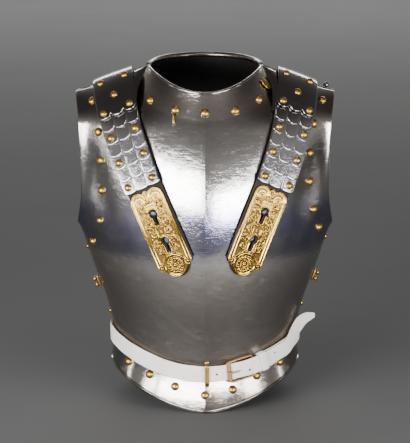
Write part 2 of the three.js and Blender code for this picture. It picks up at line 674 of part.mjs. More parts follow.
function buckleFrame() {
  const { path, middle } = waistNear(buckle.turn);
  const { halfLong, halfWide, corner } = buckle;
  const rise = (l) => mix(buckle.nearRise, buckle.farRise, (l / halfLong + 1) / 2);
  const ring = [
    [halfWide - corner, halfLong], [halfWide, halfLong - corner], [halfWide, 0],
    [halfWide, corner - halfLong], [halfWide - corner, -halfLong], [0, -halfLong],
    [corner - halfWide, -halfLong], [-halfWide, corner - halfLong], [-halfWide, 0],
    [-halfWide, halfLong - corner], [corner - halfWide, halfLong], [0, halfLong],
  ];
  return ringBar(ring.map(([w, l]) => beside(path, w, middle + l, rise(l))), buckle.bar);
}

function buckleTongue() {
  const { path, middle } = waistNear(buckle.turn);
  const grid = sweep(path, tongue.half, middle + tongue.from, middle + tongue.to, 3);
  const rise = (l) => mix(tongue.nearRise, tongue.farRise, (l - middle - tongue.from) / (tongue.to - tongue.from));
  return over(path, grid, (w, l) => rise(l) + tongue.thick / 2, (w, l) => rise(l) - tongue.thick / 2);
}

function beltKeeper() {
  const { path, middle } = waistNear(keeper.turn);
  const outside = sweep(path, keeper.halfWide + keeper.wall, middle - keeper.half, middle + keeper.half, 2);
  const inside = sweep(path, keeper.halfWide, middle - keeper.half - 3, middle + keeper.half + 3, 2);
  const body = toManifold(over(path, outside, () => keeper.high + keeper.wall, () => keeper.low - keeper.wall));
  return fromManifold(body.subtract(toManifold(over(path, inside, () => keeper.high, () => keeper.low))));
}

function beltLoop() {
  const { path, middle } = waistNear(loop.turn);
  const stations = [-1, -0.86, -0.72, 0, 0.72, 0.86, 1].map((share) => share * loop.halfWide);
  const grid = [-loop.half, loop.half].map((l) => stations.map((w) => [w, middle + l]));
  const rise = (w) => mix(loop.over, loop.foot, clamp((Math.abs(w) / loop.halfWide - 0.72) / 0.28, 0, 1));
  return over(path, grid, (w) => rise(w) + loop.thick, rise);
}

add('belt_long', beltStrip(longRoute, 36, belt.taper), white);
add('belt_short', beltStrip(shortRoute, 20), white);
add('buckle_frame', buckleFrame(), iron);
add('buckle_tongue', buckleTongue(), iron);
add('belt_keeper', beltKeeper(), white);
add('belt_loop', beltLoop(), brass);

// ---------- badge and side catches ----------
const badge = { x: 81, z: 444, long: 9.5, wide: 7, thick: 2.2, rise: 1.6 };
const sideCatch = { heights: { left: 161, right: 170 }, across: 0.94, size: [16, 9, 3], ball: 3.2, apart: 9 };

function badgeSolid() {
  const profile = [[0, 0], [1, 0], [1, 0.5], [0.8, 0.8], [0, 1]];
  return new THREE.LatheGeometry(profile.map(([r, h]) => new THREE.Vector2(r, h)), 12)
    .rotateX(Math.PI / 2).scale(badge.long, badge.wide, badge.thick);
}

function catchSolid() {
  const block = new THREE.BoxGeometry(...sideCatch.size).translate(0, 0, sideCatch.size[2] / 2);
  let solid = toManifold(block);
  for (const side of [-1, 1]) {
    const ball = dome(sideCatch.ball, 4, 0.5, 6).translate(side * sideCatch.apart / 2, 0, sideCatch.size[2]);
    solid = solid.add(toManifold(ball));
  }
  return fromManifold(solid);
}

const badgeSpot = spotOn('front', badge.x, badge.z);
addAt('neck_badge', badgeSolid(), brass, badgeSpot.point, badgeSpot.normal, badge.rise);
for (const [name, side] of [['left', -1], ['right', 1]]) {
  const at = ['front', side * sideCatch.across, upAtSeam(sideCatch.heights[name])];
  addAt(`side_catch_${name}`, catchSolid(), brass, skin(...at), normalOf(skin, ...at), 0.8);
}

export default cuirass;
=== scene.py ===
"""Looks of the cuirass: fine plates, scaled straps, relief end plates, belt, materials, light and camera.

Shapes are worked out in millimetres from the same named sizes as the part; SHIFT and MM put them in
the shared frame. "Left" and "right" in names are the viewer's.
"""
import math

import bpy
import numpy as np
from mathutils import Matrix


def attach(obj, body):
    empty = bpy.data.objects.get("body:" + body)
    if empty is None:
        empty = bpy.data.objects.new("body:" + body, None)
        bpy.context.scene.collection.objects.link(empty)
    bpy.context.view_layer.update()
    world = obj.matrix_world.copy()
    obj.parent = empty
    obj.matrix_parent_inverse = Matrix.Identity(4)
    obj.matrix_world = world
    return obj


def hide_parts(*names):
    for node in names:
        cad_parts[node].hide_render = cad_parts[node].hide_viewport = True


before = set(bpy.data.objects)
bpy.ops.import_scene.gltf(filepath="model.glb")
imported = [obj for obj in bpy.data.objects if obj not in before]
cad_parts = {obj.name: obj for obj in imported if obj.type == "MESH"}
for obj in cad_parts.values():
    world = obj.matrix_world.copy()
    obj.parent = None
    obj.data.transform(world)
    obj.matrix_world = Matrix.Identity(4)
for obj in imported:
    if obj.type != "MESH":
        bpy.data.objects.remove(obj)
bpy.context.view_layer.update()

MM = 0.001
SHIFT = np.array([0.0, 13.5, 0.0])

# ---------------------------------------------------------------- sizes of the body, mm
BREAST_THICK, BACK_THICK = 2.6, 1.6
SEAM_LAP, SEAM_GAP, SEAM_Y = 10.0, 1.0, 4.0
WAIST_UP, ARMPIT_UP, CHEST_UP, CREST_UP = 53.0, 221.0, 390.0, 445.0
NECK_HALF, SHOULDER_HALF, NECK_SHARE = 76.0, 176.0, 0.46
ARM_OPEN, KEEL, BAND_WIDE = 31.0, 0.18, 38.0
ARM_FLARE, NECK_FLARE = 6.0, 4.5
ARM_OPEN_OVER, HEM_STRAIGHT = 50, 0.2
# rows of up, side, spine, half, front, rear: at each level up, the heights of the side and of the spine,
# the half width, and how far the front and the rear stand out
SECTIONS = np.array([
    (53, 88, 55, 126.5, 117, 96),
    (96, 130, 98, 136.5, 125, 99),
    (145, 173, 148, 151.5, 137, 108),
    (194, 216, 198, 166, 147, 119),
    (221, 240, 226, 172.5, 151, 124),
    (252, 267, 257, 178, 152.5, 128),
    (290, 301, 294, 182, 151, 130),
    (333, 339, 335, 187.5, 145, 130),
    (371, 373, 372, 192, 136, 127),
    (390, 390, 390, 194, 130, 124),
], float)
HEM = {"side": 47.0, "half": 132.0, "front": 131.0, "rear": 111.0, "level_rear": 0.5}
CREST = {
    "front": {"y": -8.0, "deep": 100.0, "middle": 438.0, "side": 463.0, "corner": 426.0},
    "back": {"y": -2.0, "deep": 87.0, "middle": 466.0, "side": 464.0, "corner": 427.0},
}


# ---------------------------------------------------------------- small maths
def mix(a, b, k):
    return a + (b - a) * k


def unit(v):
    return v / np.maximum(np.linalg.norm(v, axis=-1, keepdims=True), 1e-12)


def smooth(k):
    k = np.clip(k, 0, 1)
    return k * k * (3 - 2 * k)


def arrays(*values):
    """The values as float arrays of one common shape."""
    return np.broadcast_arrays(*(np.asarray(v, float) for v in values))


def hump(distance, half):
    """A half-round ridge: 1 where distance is 0, and 0 from half on."""
    return np.sqrt(np.clip(1 - (distance / half) ** 2, 0, 1))


def rounding(k):
    """A quarter round: rises from 0 to 1 as k does."""
    return hump(1 - np.clip(k, 0, 1), 1)


def spline(xs, ys):
    """Natural cubic spline through (xs, ys), for numbers or arrays."""
    xs, ys = np.asarray(xs, float), np.asarray(ys, float)
    n = len(xs)
    h = np.diff(xs)
    system, right = np.eye(n), np.zeros(n)
    for i in range(1, n - 1):
        system[i, i - 1:i + 2] = h[i - 1], 2 * (h[i - 1] + h[i]), h[i]
        right[i] = 6 * ((ys[i + 1] - ys[i]) / h[i] - (ys[i] - ys[i - 1]) / h[i - 1])
    bend = np.linalg.solve(system, right)

    def at(x):
        x = np.asarray(x, float)
        k = np.clip(np.searchsorted(xs, x, side="left") - 1, 0, n - 2)
        step = h[k]
        a = (xs[k + 1] - x) / step
        b = 1 - a
        return a * ys[k] + b * ys[k + 1] + ((a**3 - a) * bend[k] + (b**3 - b) * bend[k + 1]) * step**2 / 6

    return at


SIDE, SPINE, HALF, FRONT, REAR = (spline(SECTIONS[:, 0], SECTIONS[:, c]) for c in range(1, 6))


# ---------------------------------------------------------------- surface of the body
def section_point(face, across, up):
    """A point of the lower body: across is -1 to 1 from seam to seam, up is the level."""
    is_front = face == "front"
    across, up = arrays(across, up)
    level = np.maximum(up, WAIST_UP)
    down = np.clip(1 - up / WAIST_UP, 0, 1)
    turn = down * mix(0.45, 1, down)
    waist_side, waist_half = SECTIONS[0, 1], SECTIONS[0, 3]
    depth = FRONT(level) if is_front else REAR(level)
    depth_out = HEM["front"] - SECTIONS[0, 4] if is_front else HEM["rear"] - SECTIONS[0, 5]
    middle = (level if is_front else SPINE(level)) * (1 - down)
    side = SIDE(level) + (HEM["side"] - waist_side) * down
    half = HALF(level) + (HEM["half"] - waist_half) * turn - (0 if is_front else BREAST_THICK + SEAM_GAP)
    end_angle = 90 - ARM_OPEN * np.tanh((np.maximum(0, up - ARMPIT_UP) / ARM_OPEN_OVER) ** 0.6)
    angle = np.radians(np.abs(across) * end_angle)
    sine, cosine = np.sin(angle), np.maximum(np.cos(angle), 0)
    sharp = KEEL if is_front else 0
    out = (depth + depth_out * turn) * ((1 - sharp) * cosine**0.88 + sharp * (1 - sine))
    level_share = 0 if is_front else HEM["level_rear"] * down
    reach = np.clip((sine - level_share) / (1 - level_share), 0, 1)
    straight = HEM_STRAIGHT * down if is_front else 0
    z = middle + (side - middle) * ((1 - straight) * reach**2 + straight * reach)
    y = SEAM_Y - out if is_front else SEAM_Y - SEAM_LAP + out
    return np.stack([np.sign(across) * half * sine, y, z], -1)


def crest_point(face, across):
    """A point of the upper edge, and the way in which the surface runs into it."""
    edge, sign = CREST[face], (-1 if face == "front" else 1)
    across = np.asarray(across, float)
    share = np.abs(across)
    turn = np.radians(90 * np.minimum(share / NECK_SHARE, 1))
    past = np.clip((share - NECK_SHARE) / (1 - NECK_SHARE), 0, 1)
    lean = np.sin(turn) ** 2
    x = NECK_HALF * np.sin(turn) + (SHOULDER_HALF - NECK_HALF) * past
    z = edge["middle"] + (edge["side"] - edge["middle"]) * lean + (edge["corner"] - edge["side"]) * past
    point = np.stack([np.sign(across) * x, edge["y"] + sign * edge["deep"] * np.cos(turn), z], -1)
    aside = (lean**2 * (1 - np.minimum(1, past / 0.35)) ** 2)[..., None]
    way = np.stack([0 * x, -sign * mix(0.3, 0.95, lean), mix(0.92, 0.2, lean)], -1)
    corner_way = np.stack([-0.55 * np.sign(across), 0 * x - sign * 0.5, 0 * x + 0.6], -1)
    return point, unit(mix(way, corner_way, aside))


def body_point(face, across, up):
    """The surface without its turned-out edges: sections up to the chest, then a smooth run to the crest."""
    across, up = arrays(across, up)
    low = section_point(face, across, np.minimum(up, CHEST_UP))
    start = section_point(face, across, CHEST_UP)
    start_way = unit(start - section_point(face, across, CHEST_UP - 2))
    end, end_way = crest_point(face, across)
    k = np.clip((up - CHEST_UP) / (CREST_UP - CHEST_UP), 0, None)[..., None]
    span = np.linalg.norm(start - end, axis=-1, keepdims=True)
    high = (start * (2 * k**3 - 3 * k**2 + 1)
            + start_way * span * (k**3 - 2 * k**2 + k)
            + end * (3 * k**2 - 2 * k**3) + end_way * span * (k**3 - k**2))
    return np.where(up[..., None] <= CHEST_UP, low, high)


def normal_of(surface, face, across, up):
    """The outward normal; the left half mirrors the right one."""
    across, up = arrays(across, up)
    step, step_up = 0.004, 0.9
    a = np.clip(np.abs(across), 2 * step, 1 - 2 * step)
    u = np.clip(up, 1, CREST_UP - 1)
    along_row = surface(face, a + step, u) - surface(face, a - step, u)
    along_column = surface(face, a, u + step_up) - surface(face, a, u - step_up)
    normal = unit(np.cross(along_row, along_column))
    if face == "back":
        normal = -normal
    normal[..., 0] *= np.where(across < 0, -1, 1)
    normal[..., 0] = np.where(np.abs(across) < step, 0, normal[..., 0])
    return unit(normal)


def polyline(points):
    return points[:-1], points[1:]


def band_edges(face):
    """The edges that turn outward: both armholes, and the neck."""
    ups = np.linspace(ARMPIT_UP, CREST_UP, 41)
    arms = [polyline(body_point(face, side, ups)) for side in (-1, 1)]
    neck = polyline(body_point(face, np.linspace(-NECK_SHARE, NECK_SHARE, 41), CREST_UP))
    return {"arm": tuple(np.concatenate(pair) for pair in zip(*arms)), "neck": neck}


BAND_EDGES = {face: band_edges(face) for face in ("front", "back")}


def edge_share(face, edge, points):
    """1 on the edge, 0 at the inner side of its band."""
    start, end = BAND_EDGES[face][edge]
    way = end - start
    offset = points[..., None, :] - start
    k = np.clip((offset * way).sum(-1) / (way * way).sum(-1), 0, 1)
    return np.clip(1 - np.linalg.norm(offset - k[..., None] * way, axis=-1).min(-1) / BAND_WIDE, 0, 1)


def skin(face, across, up):
    """The surface with its edges turned outward at the armholes and the neck."""
    across, up = arrays(across, up)
    point = body_point(face, across, up)
    arm, neck = edge_share(face, "arm", point), edge_share(face, "neck", point)
    from_seam = np.clip((np.abs(point[..., 1] - SEAM_Y) - 8) / 26, 0, 1)
    on_shoulder = np.clip((up - CHEST_UP) / (CREST_UP - CHEST_UP), 0, 1)
    beside_neck = np.sin(np.radians(90 * np.minimum(np.abs(across) / NECK_SHARE, 1))) ** 2
    arm_fade = np.where(up > CHEST_UP, 1 - 0.5 * on_shoulder, from_seam)
    at_arm = ARM_FLARE * (0.25 * arm + 0.75 * arm**4) * arm_fade
    at_neck = NECK_FLARE * (0.5 * neck + 0.5 * neck**2) * (1 - 0.8 * on_shoulder * beside_neck)
    return point + normal_of(body_point, face, across, up) * np.maximum(at_arm, at_neck)[..., None]


def spot_on(face, x, z):
    """Points of the surface that have the given x and z, and their normals."""
    x, z = np.asarray(x, float), np.asarray(z, float)
    across, up = x / 180, np.clip(z, 20, CREST_UP - 12)
    small_a, small_u = 0.002, 0.4
    for _ in range(30):
        at = skin(face, across, up)
        step_a = (skin(face, across + small_a, up) - at) / small_a
        step_u = (skin(face, across, up + small_u) - at) / small_u
        det = step_a[..., 0] * step_u[..., 2] - step_u[..., 0] * step_a[..., 2]
        dx, dz = x - at[..., 0], z - at[..., 2]
        change_a = (dx * step_u[..., 2] - dz * step_u[..., 0]) / det
        change_u = (dz * step_a[..., 0] - dx * step_a[..., 2]) / det
        across = np.clip(across + np.clip(change_a, -0.1, 0.1), -1, 1)
        up = np.clip(up + np.clip(change_u, -15, 15), 0, CREST_UP)
    return skin(face, across, up), normal_of(skin, face, across, up)


def up_at_seam(z):
    """The level at which the seam is at height z."""
    up = z
    for _ in range(12):
        up += z - float(SIDE(up))
    return up


# ---------------------------------------------------------------- mesh building
class Build:
    """Collects vertices (mm) and faces, then makes one object of them."""

    def __init__(self):
        self.verts, self.faces, self.mats, self.sharp, self.count = [], [], [], [], 0

    def add(self, verts, faces, mat=0, sharp=()):
        self.verts.append(np.asarray(verts, float).reshape(-1, 3))
        base = self.count
        mats = mat if hasattr(mat, "__len__") else [mat] * len(faces)
        self.faces += [tuple(int(i) + base for i in f) for f in faces]
        self.mats += list(mats)
        self.sharp += [(a + base, b + base) for a, b in sharp]
        self.count += len(self.verts[-1])

    def make(self, name, materials, nodes):
        verts = (np.concatenate(self.verts) + SHIFT) * MM
        mesh = bpy.data.meshes.new(name)
        mesh.from_pydata(verts.tolist(), [], self.faces)
        mesh.polygons.foreach_set("material_index", self.mats)
        mesh.polygons.foreach_set("use_smooth", [True] * len(self.faces))
        if self.sharp:
            wanted = {tuple(sorted(e)) for e in self.sharp}
            flags = [tuple(sorted(e.vertices)) in wanted for e in mesh.edges]
            layer = mesh.attributes.new("sharp_edge", "BOOLEAN", "EDGE")
            layer.data.foreach_set("value", flags)
        mesh.validate()
        obj = bpy.data.objects.new(name, mesh)
        bpy.context.scene.collection.objects.link(obj)
        for material in materials:
            mesh.materials.append(material)
        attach(obj, "root")
        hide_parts(*nodes)


def shell(outer, inner, steps=4, mats=(0, 0, 0)):
    """A closed solid between two equal grids with half-round edges; mats are outer, edge, inner."""
    rows, columns = outer.shape[:2]
    count = rows * columns
    verts = [outer.reshape(-1, 3), inner.reshape(-1, 3)]
    i, j = grid(np.arange(rows - 1), np.arange(columns - 1))
    a = (i * columns + j).ravel()
    quads = np.stack([a, a + 1, a + columns + 1, a + columns], 1)
    faces = [tuple(q) for q in quads] + [tuple(q) for q in (quads[:, ::-1] + count)]
    tags = [mats[0]] * len(quads) + [mats[2]] * len(quads)
    ring = ([(0, c) for c in range(columns - 1)] + [(r, columns - 1) for r in range(rows - 1)]
            + [(rows - 1, c) for c in range(columns - 1, 0, -1)] + [(r, 0) for r in range(rows - 1, 0, -1)])
    ring = np.array(ring)
    ins = np.stack([np.clip(ring[:, 0], 1, rows - 2), np.clip(ring[:, 1], 1, columns - 2)], 1)
    top, low = outer[ring[:, 0], ring[:, 1]], inner[ring[:, 0], ring[:, 1]]
    middle, half = (top + low) / 2, (top - low) / 2
    way = top - outer[ins[:, 0], ins[:, 1]]
    radius = np.linalg.norm(half, axis=1, keepdims=True)
    way = unit(way - half * ((way * half).sum(1, keepdims=True) / radius**2)) * radius
    ids = [ring[:, 0] * columns + ring[:, 1]]
    base = 2 * count
    for k in range(1, steps):
        turn = math.pi * k / steps
        verts.append(middle + half * math.cos(turn) + way * math.sin(turn))
        ids.append(base + np.arange(len(ring)))
        base += len(ring)
    ids.append(ids[0] + count)
    for upper, lower in zip(ids, ids[1:]):
        around = np.stack([np.roll(upper, -1), upper, lower, np.roll(lower, -1)], 1)
        faces += [tuple(q) for q in around]
        tags += [mats[1]] * len(around)
    return np.concatenate(verts), faces, tags


def grid(a, b):
    """Two arrays: a down the rows, b across the columns."""
    return np.meshgrid(a, b, indexing="ij")


def lathe(profile, sides, wide=1.0, deep=1.0):
    """A profile of (radius, height) from the axis below to the axis above, turned about Z."""
    verts, faces = [], []
    angles = np.arange(sides) * 2 * math.pi / sides
    for r, h in profile[1:-1]:
        verts += [(r * wide * math.cos(t), r * deep * math.sin(t), h) for t in angles]
    low, high = len(verts), len(verts) + 1
    verts += [(0, 0, profile[0][1]), (0, 0, profile[-1][1])]
    rings = len(profile) - 2
    for k in range(sides):
        after = (k + 1) % sides
        faces.append((low, after, k))
        faces.append((high, (rings - 1) * sides + k, (rings - 1) * sides + after))
        for ring in range(rings - 1):
            a, b = ring * sides, (ring + 1) * sides
            faces.append((a + k, a + after, b + after, b + k))
    return np.array(verts), faces


def facing(normal, along=None):
    """Axes whose third is the normal and whose first is near along."""
    z = unit(np.asarray(normal, float))
    if along is None:
        along = np.cross([0, 1, 0] if abs(z[1]) < 0.9 else [1, 0, 0], z)
    x = unit(along - z * np.dot(along, z))
    return np.stack([x, np.cross(z, x), z])


def seat(verts, point, normal, rise=0.0):
    """Vertices made about the Z axis, set on a point so that Z runs along the normal."""
    return verts @ facing(normal) + point + unit(np.asarray(normal, float)) * rise


def ring_faces(a, b, sides):
    """Quads between two rings of vertices that start at a and at b."""
    return [(a + s, a + (s + 1) % sides, b + (s + 1) % sides, b + s) for s in range(sides)]


def tube(points, radius, sides=12, closed=False):
    """A round bar along points; radius is a number or one for each point."""
    points = np.asarray(points, float)
    n = len(points)
    radius = np.broadcast_to(radius, (n,))
    ways = unit(np.roll(points, -1, 0) - np.roll(points, 1, 0))
    if not closed:
        ways[0], ways[-1] = unit(points[1] - points[0]), unit(points[-1] - points[-2])
    side = unit(np.cross(ways[0], [0.31, 0.17, 0.94]))
    verts, faces = [], []
    for k in range(n):
        side = unit(side - ways[k] * np.dot(side, ways[k]))
        other = np.cross(ways[k], side)
        turns = np.arange(sides) * 2 * math.pi / sides
        verts.append(points[k] + radius[k] * (np.cos(turns)[:, None] * side + np.sin(turns)[:, None] * other))
    for k in range(n if closed else n - 1):
        faces += ring_faces(k * sides, (k + 1) % n * sides, sides)
    verts = np.concatenate(verts)
    if not closed:
        caps = []
        for k, sign in ((0, -1), (n - 1, 1)):
            caps.append(points[k] + ways[k] * sign * radius[k] * 0.7)
            tip, a = n * sides + len(caps) - 1, k * sides
            for s in range(sides):
                t = (s + 1) % sides
                faces.append((tip, a + t, a + s) if sign < 0 else (tip, a + s, a + t))
        verts = np.concatenate([verts, caps])
    return verts, faces


def sheet(place, us, vs, outline, top, bottom):
    """A flat piece cut to an outline: outline(u, v) < 0 inside, with faces at heights top and bottom.

    Grid points close to the outline are moved onto it, so that its edge is smooth; tag 1 is the edge.
    """
    step, snap = 0.02, 0.35
    u, v = grid(us, vs)
    cell = min(np.diff(us).min(), np.diff(vs).min())
    field = outline(u, v)
    for _ in range(2):
        gu = (outline(u + step, v) - outline(u - step, v)) / (2 * step)
        gv = (outline(u, v + step) - outline(u, v - step)) / (2 * step)
        near = np.abs(field) < snap * cell
        size = np.maximum(gu**2 + gv**2, 0.25)
        u = np.where(near, u - field * gu / size, u)
        v = np.where(near, v - field * gv / size, v)
        moved = outline(u, v)
        field = np.where(near, np.where(np.abs(moved) < 0.05, 0.0, moved), field)
    rows, columns = u.shape
    flat_u, flat_v, flat_f = list(u.ravel()), list(v.ravel()), field.ravel()
    i, j = grid(np.arange(rows - 1), np.arange(columns - 1))
    a = (i * columns + j).ravel()
    quads = np.stack([a, a + columns, a + columns + 1, a + 1], 1)
    values = flat_f[quads]
    whole = (values <= 0).all(1) & (values < 0).any(1)
    faces = [tuple(q) for q in quads[whole]]
    cut = {}

    def crossing(p, q):
        key = (min(p, q), max(p, q))
        if key not in cut:
            k = flat_f[p] / (flat_f[p] - flat_f[q])
            cut[key] = len(flat_u)
            flat_u.append(mix(flat_u[p], flat_u[q], k))
            flat_v.append(mix(flat_v[p], flat_v[q], k))
        return cut[key]

    for quad in quads[(values < 0).any(1) & (values > 0).any(1)]:
        polygon = []
        for k in range(4):
            p, q = quad[k], quad[(k + 1) % 4]
            if flat_f[p] <= 0:
                polygon.append(int(p))
            if flat_f[p] * flat_f[q] < 0:
                polygon.append(crossing(int(p), int(q)))
        if len(set(polygon)) >= 3:
            faces.append(tuple(polygon))
    used = np.unique(np.concatenate([np.array(f) for f in faces]))
    index = {int(old): new for new, old in enumerate(used)}
    faces = [tuple(index[int(p)] for p in f) for f in faces]
    uu, vv = np.array(flat_u)[used], np.array(flat_v)[used]
    count = len(used)
    verts = np.concatenate([place(uu, vv, top(uu, vv)), place(uu, vv, bottom(uu, vv))])
    edges = dict.fromkeys((p, q) for f in faces for p, q in zip(f, f[1:] + f[:1]))
    walls = [(q, p, p + count, q + count) for p, q in edges if (q, p) not in edges]
    backs = [tuple(p + count for p in reversed(f)) for f in faces]
    return verts, faces + backs + walls, [0] * (2 * len(faces)) + [1] * len(walls)


# ---------------------------------------------------------------- materials
class Nodes:
    """Short calls for building a material's nodes."""

    def __init__(self, name):
        self.material = bpy.data.materials.new(name)
        self.material.use_nodes = True
        self.tree = self.material.node_tree
        self.shader = next(n for n in self.tree.nodes if n.type == "BSDF_PRINCIPLED")
        self.coords = self.tree.nodes.new("ShaderNodeTexCoord").outputs["Object"]

    def put(self, node, values):
        """Sets inputs of a node to numbers, or links the outputs of other nodes to them."""
        for key, value in values.items():
            socket = node.inputs[key]
            if isinstance(value, bpy.types.NodeSocket):
                self.tree.links.new(value, socket)
            else:
                socket.default_value = value

    def new(self, kind, values):
        node = self.tree.nodes.new("ShaderNode" + kind)
        self.put(node, values)
        return node

    def set(self, **values):
        self.put(self.shader, {key.replace("_", " "): value for key, value in values.items()})

    def moved(self, scale, rotate=(0, 0, 0), at=(0, 0, 0)):
        turn = [math.radians(r) for r in rotate]
        values = {"Vector": self.coords, "Scale": scale, "Rotation": turn, "Location": at}
        return self.new("Mapping", values).outputs["Vector"]

    def noise(self, scale, detail=4.0, rough=0.55, where=None, warp=0.0):
        values = {"Scale": scale, "Detail": detail, "Roughness": rough, "Distortion": warp}
        return self.new("TexNoise", {"Vector": where or self.coords, **values}).outputs["Fac"]

    def ramp(self, value, low, high, a=0.0, b=1.0):
        """Runs softly from a to b while the value goes from low to high."""
        limits = {"From Min": low, "From Max": high, "To Min": a, "To Max": b}
        node = self.new("MapRange", {"Value": value, **limits})
        node.interpolation_type = "SMOOTHSTEP"
        return node.outputs["Result"]

    def math(self, what, a, b):
        node = self.new("Math", {0: a, 1: b})
        node.operation = what
        return node.outputs["Value"]

    def blend(self, factor, a, b):
        """Colour a where the factor is 0, b where it is 1."""
        node = self.new("Mix", {"Factor": factor})
        node.data_type = "RGBA"
        first, second, result = 6, 7, 2
        for key, value in ((first, a), (second, b)):
            self.put(node, {key: (*value, 1) if isinstance(value, tuple) else value})
        return node.outputs[result]

    def bump(self, height, strength, distance):
        """Adds relief on top of the reliefs added before."""
        values = {"Strength": strength, "Distance": distance, "Height": height}
        normal = self.shader.inputs["Normal"]
        if normal.is_linked:
            values["Normal"] = normal.links[0].from_socket
        self.set(Normal=self.new("Bump", values).outputs["Normal"])


def shade(tint, red, green, blue):
    return (tint[0] * red, tint[1] * green, tint[2] * blue)


def scratches(n, seeds, scale=(60, 60, 2600)):
    """Fine lines in several directions, 0 to 1."""
    total = None
    for turn in seeds:
        line = n.noise(1.0, 2.0, 0.5, n.moved(scale, turn, (turn[0], turn[1], 0)))
        line = n.ramp(line, 0.62, 0.7)
        total = line if total is None else n.math("MAXIMUM", total, line)
    return total


def steel_material(name, tint, polished, satin, stain, blue=0.0):
    """Old polished steel, browner and duller in clouds and duller in one band of height, with stains and
    scratches; painted reflections colour it by height: browner at the top, darker low down for the floor, and
    a blue band in the middle where blue is given.

    polished and satin are the roughness of clean and of dull places; heights are in metres.
    """
    n = Nodes(name)
    n.set(Metallic=1.0)
    height = n.new("SeparateXYZ", {0: n.coords}).outputs["Z"]
    cloud = n.noise(7, 6, 0.62, warp=0.3)
    spots = n.ramp(n.noise(60, 8, 0.72, warp=0.5), 0.54, 0.74)
    lines = scratches(n, [(12, 20, 0), (70, -30, 40), (35, 60, 90)])
    colour = n.blend(n.ramp(cloud, 0.4, 0.7, 0, stain), tint, shade(tint, 0.62, 0.52, 0.44))
    # painted reflection: browner and darker towards the top
    colour = n.blend(n.ramp(height, 0.36, 0.45, 0, 0.6), colour, shade(tint, 0.66, 0.56, 0.5))
    # painted reflection of the dark floor: darker towards the bottom
    colour = n.blend(n.ramp(height, 0.25, 0.17, 0, 0.7), colour, shade(tint, 0.62, 0.56, 0.52))
    # painted reflection: a blue band across the middle heights, broken up by noise
    if blue:
        reflection_band = n.math("MULTIPLY", n.ramp(height, 0.2, 0.235), n.ramp(height, 0.31, 0.27))
        reflection_patches = n.ramp(n.noise(16, 4, 0.6, n.moved((1, 1, 1), at=(3, 1, 2))), 0.38, 0.6, 0.25, blue)
        colour = n.blend(n.math("MULTIPLY", reflection_band, reflection_patches), colour, (0.2, 0.2, 0.36))
    n.set(Base_Color=n.blend(n.math("MULTIPLY", spots, 0.35), colour, (0.2, 0.16, 0.13)))
    worn = n.math("MULTIPLY", n.ramp(height, 0.235, 0.2), n.ramp(height, 0.055, 0.08))
    worn = n.math("ADD", worn, n.ramp(cloud, 0.45, 0.75, 0, 0.3))
    rough = n.ramp(worn, 0.0, 1.0, polished, satin)
    rough = n.math("ADD", rough, n.math("MULTIPLY", spots, 0.12))
    n.set(Roughness=n.math("ADD", rough, n.math("MULTIPLY", lines, 0.07)))
    n.bump(n.noise(300, 3, 0.6), 0.04, 0.0006)
    n.bump(lines, 0.08, 0.0002)
    n.bump(n.noise(26, 4, 0.55), 0.3, 0.002)
    return n.material


def brass_material(name, tint, gloss, hollow_shade):
    """Gilt brass, with painted shade: ambient occlusion darkens its hollows."""
    n = Nodes(name)
    n.set(Metallic=1.0)
    cloud = n.noise(60, 4, 0.6)
    fine = n.noise(900, 4, 0.6)
    colour = n.blend(n.ramp(cloud, 0.35, 0.75, 0, 0.5), tint, shade(tint, 0.86, 0.74, 0.55))
    # painted shade: ambient occlusion darkens the colour in the hollows towards a dark brown
    hollow = n.new("AmbientOcclusion", {"Distance": 0.0028}).outputs["AO"]
    n.set(Base_Color=n.blend(n.ramp(hollow, 0.92, 0.5, 0, hollow_shade), colour, (0.13, 0.06, 0.012)))
    uneven = n.math("ADD", cloud, n.math("MULTIPLY", fine, 0.5))
    n.set(Roughness=n.ramp(uneven, 0.5, 1.1, gloss, gloss + 0.12))
    n.bump(fine, 0.1, 0.0003)
    return n.material


def leather_material(name, light, dark, grain, gloss, wrinkle=0.0):
    n = Nodes(name)
    n.set(Specular_IOR_Level=0.35)
    cloud = n.noise(40, 6, 0.65)
    cells = n.new("TexVoronoi", {"Vector": n.coords, "Scale": grain}).outputs["Distance"]
    dirt = n.ramp(n.noise(120, 6, 0.7), 0.5, 0.75)
    colour = n.blend(n.ramp(cloud, 0.3, 0.72), light, dark)
    n.set(Base_Color=n.blend(n.math("MULTIPLY", dirt, 0.45), colour, shade(dark, 0.55, 0.55, 0.55)))
    n.set(Roughness=n.ramp(cloud, 0.3, 0.7, gloss, gloss + 0.18))
    n.bump(cells, 0.25, 0.0004)
    if wrinkle:
        n.bump(n.noise(260, 4, 0.6, n.moved((0.35, 0.35, 1))), wrinkle, 0.0012)
    return n.material


# the last number of the first steel is the strength of its painted blue reflection band
STEEL = steel_material("worn_steel", (0.5, 0.485, 0.47), 0.13, 0.31, 0.5, 0.75)
SCALE_STEEL = steel_material("scale_steel", (0.5, 0.5, 0.52), 0.14, 0.2, 0.3)
BACK_STEEL = steel_material("back_steel", (0.46, 0.44, 0.42), 0.22, 0.38, 0.5)
# for each brass, the last number is how far painted shade darkens its hollows
BRASS = brass_material("gilt_brass", (0.5, 0.33, 0.08), 0.11, 0.97)
RIVET_BRASS = brass_material("rivet_brass", (0.5, 0.32, 0.09), 0.3, 0.5)
BROWN = leather_material("brown_leather", (0.026, 0.015, 0.01), (0.014, 0.009, 0.007), 1500, 0.6)
WHITE = leather_material("white_leather", (0.93, 0.91, 0.87), (0.84, 0.8, 0.74), 1700, 0.55, 0.3)
TAN = leather_material("cut_leather", (0.42, 0.26, 0.15), (0.25, 0.14, 0.08), 2200, 0.7)
# the buckle's brass; its last number also sets the painted shade in its hollows
IRON = brass_material("rusty_brass", (0.5, 0.3, 0.15), 0.42, 0.7)
# near-black steel for the studs: painted shade for the dark inside of the keyholes
STUD_SHADE_STEEL = steel_material("stud_steel_painted_shade", (0.06, 0.06, 0.075), 0.34, 0.4, 0.3)
LINING = leather_material("black_inside", (0.02, 0.018, 0.017), (0.012, 0.011, 0.01), 900, 0.5)


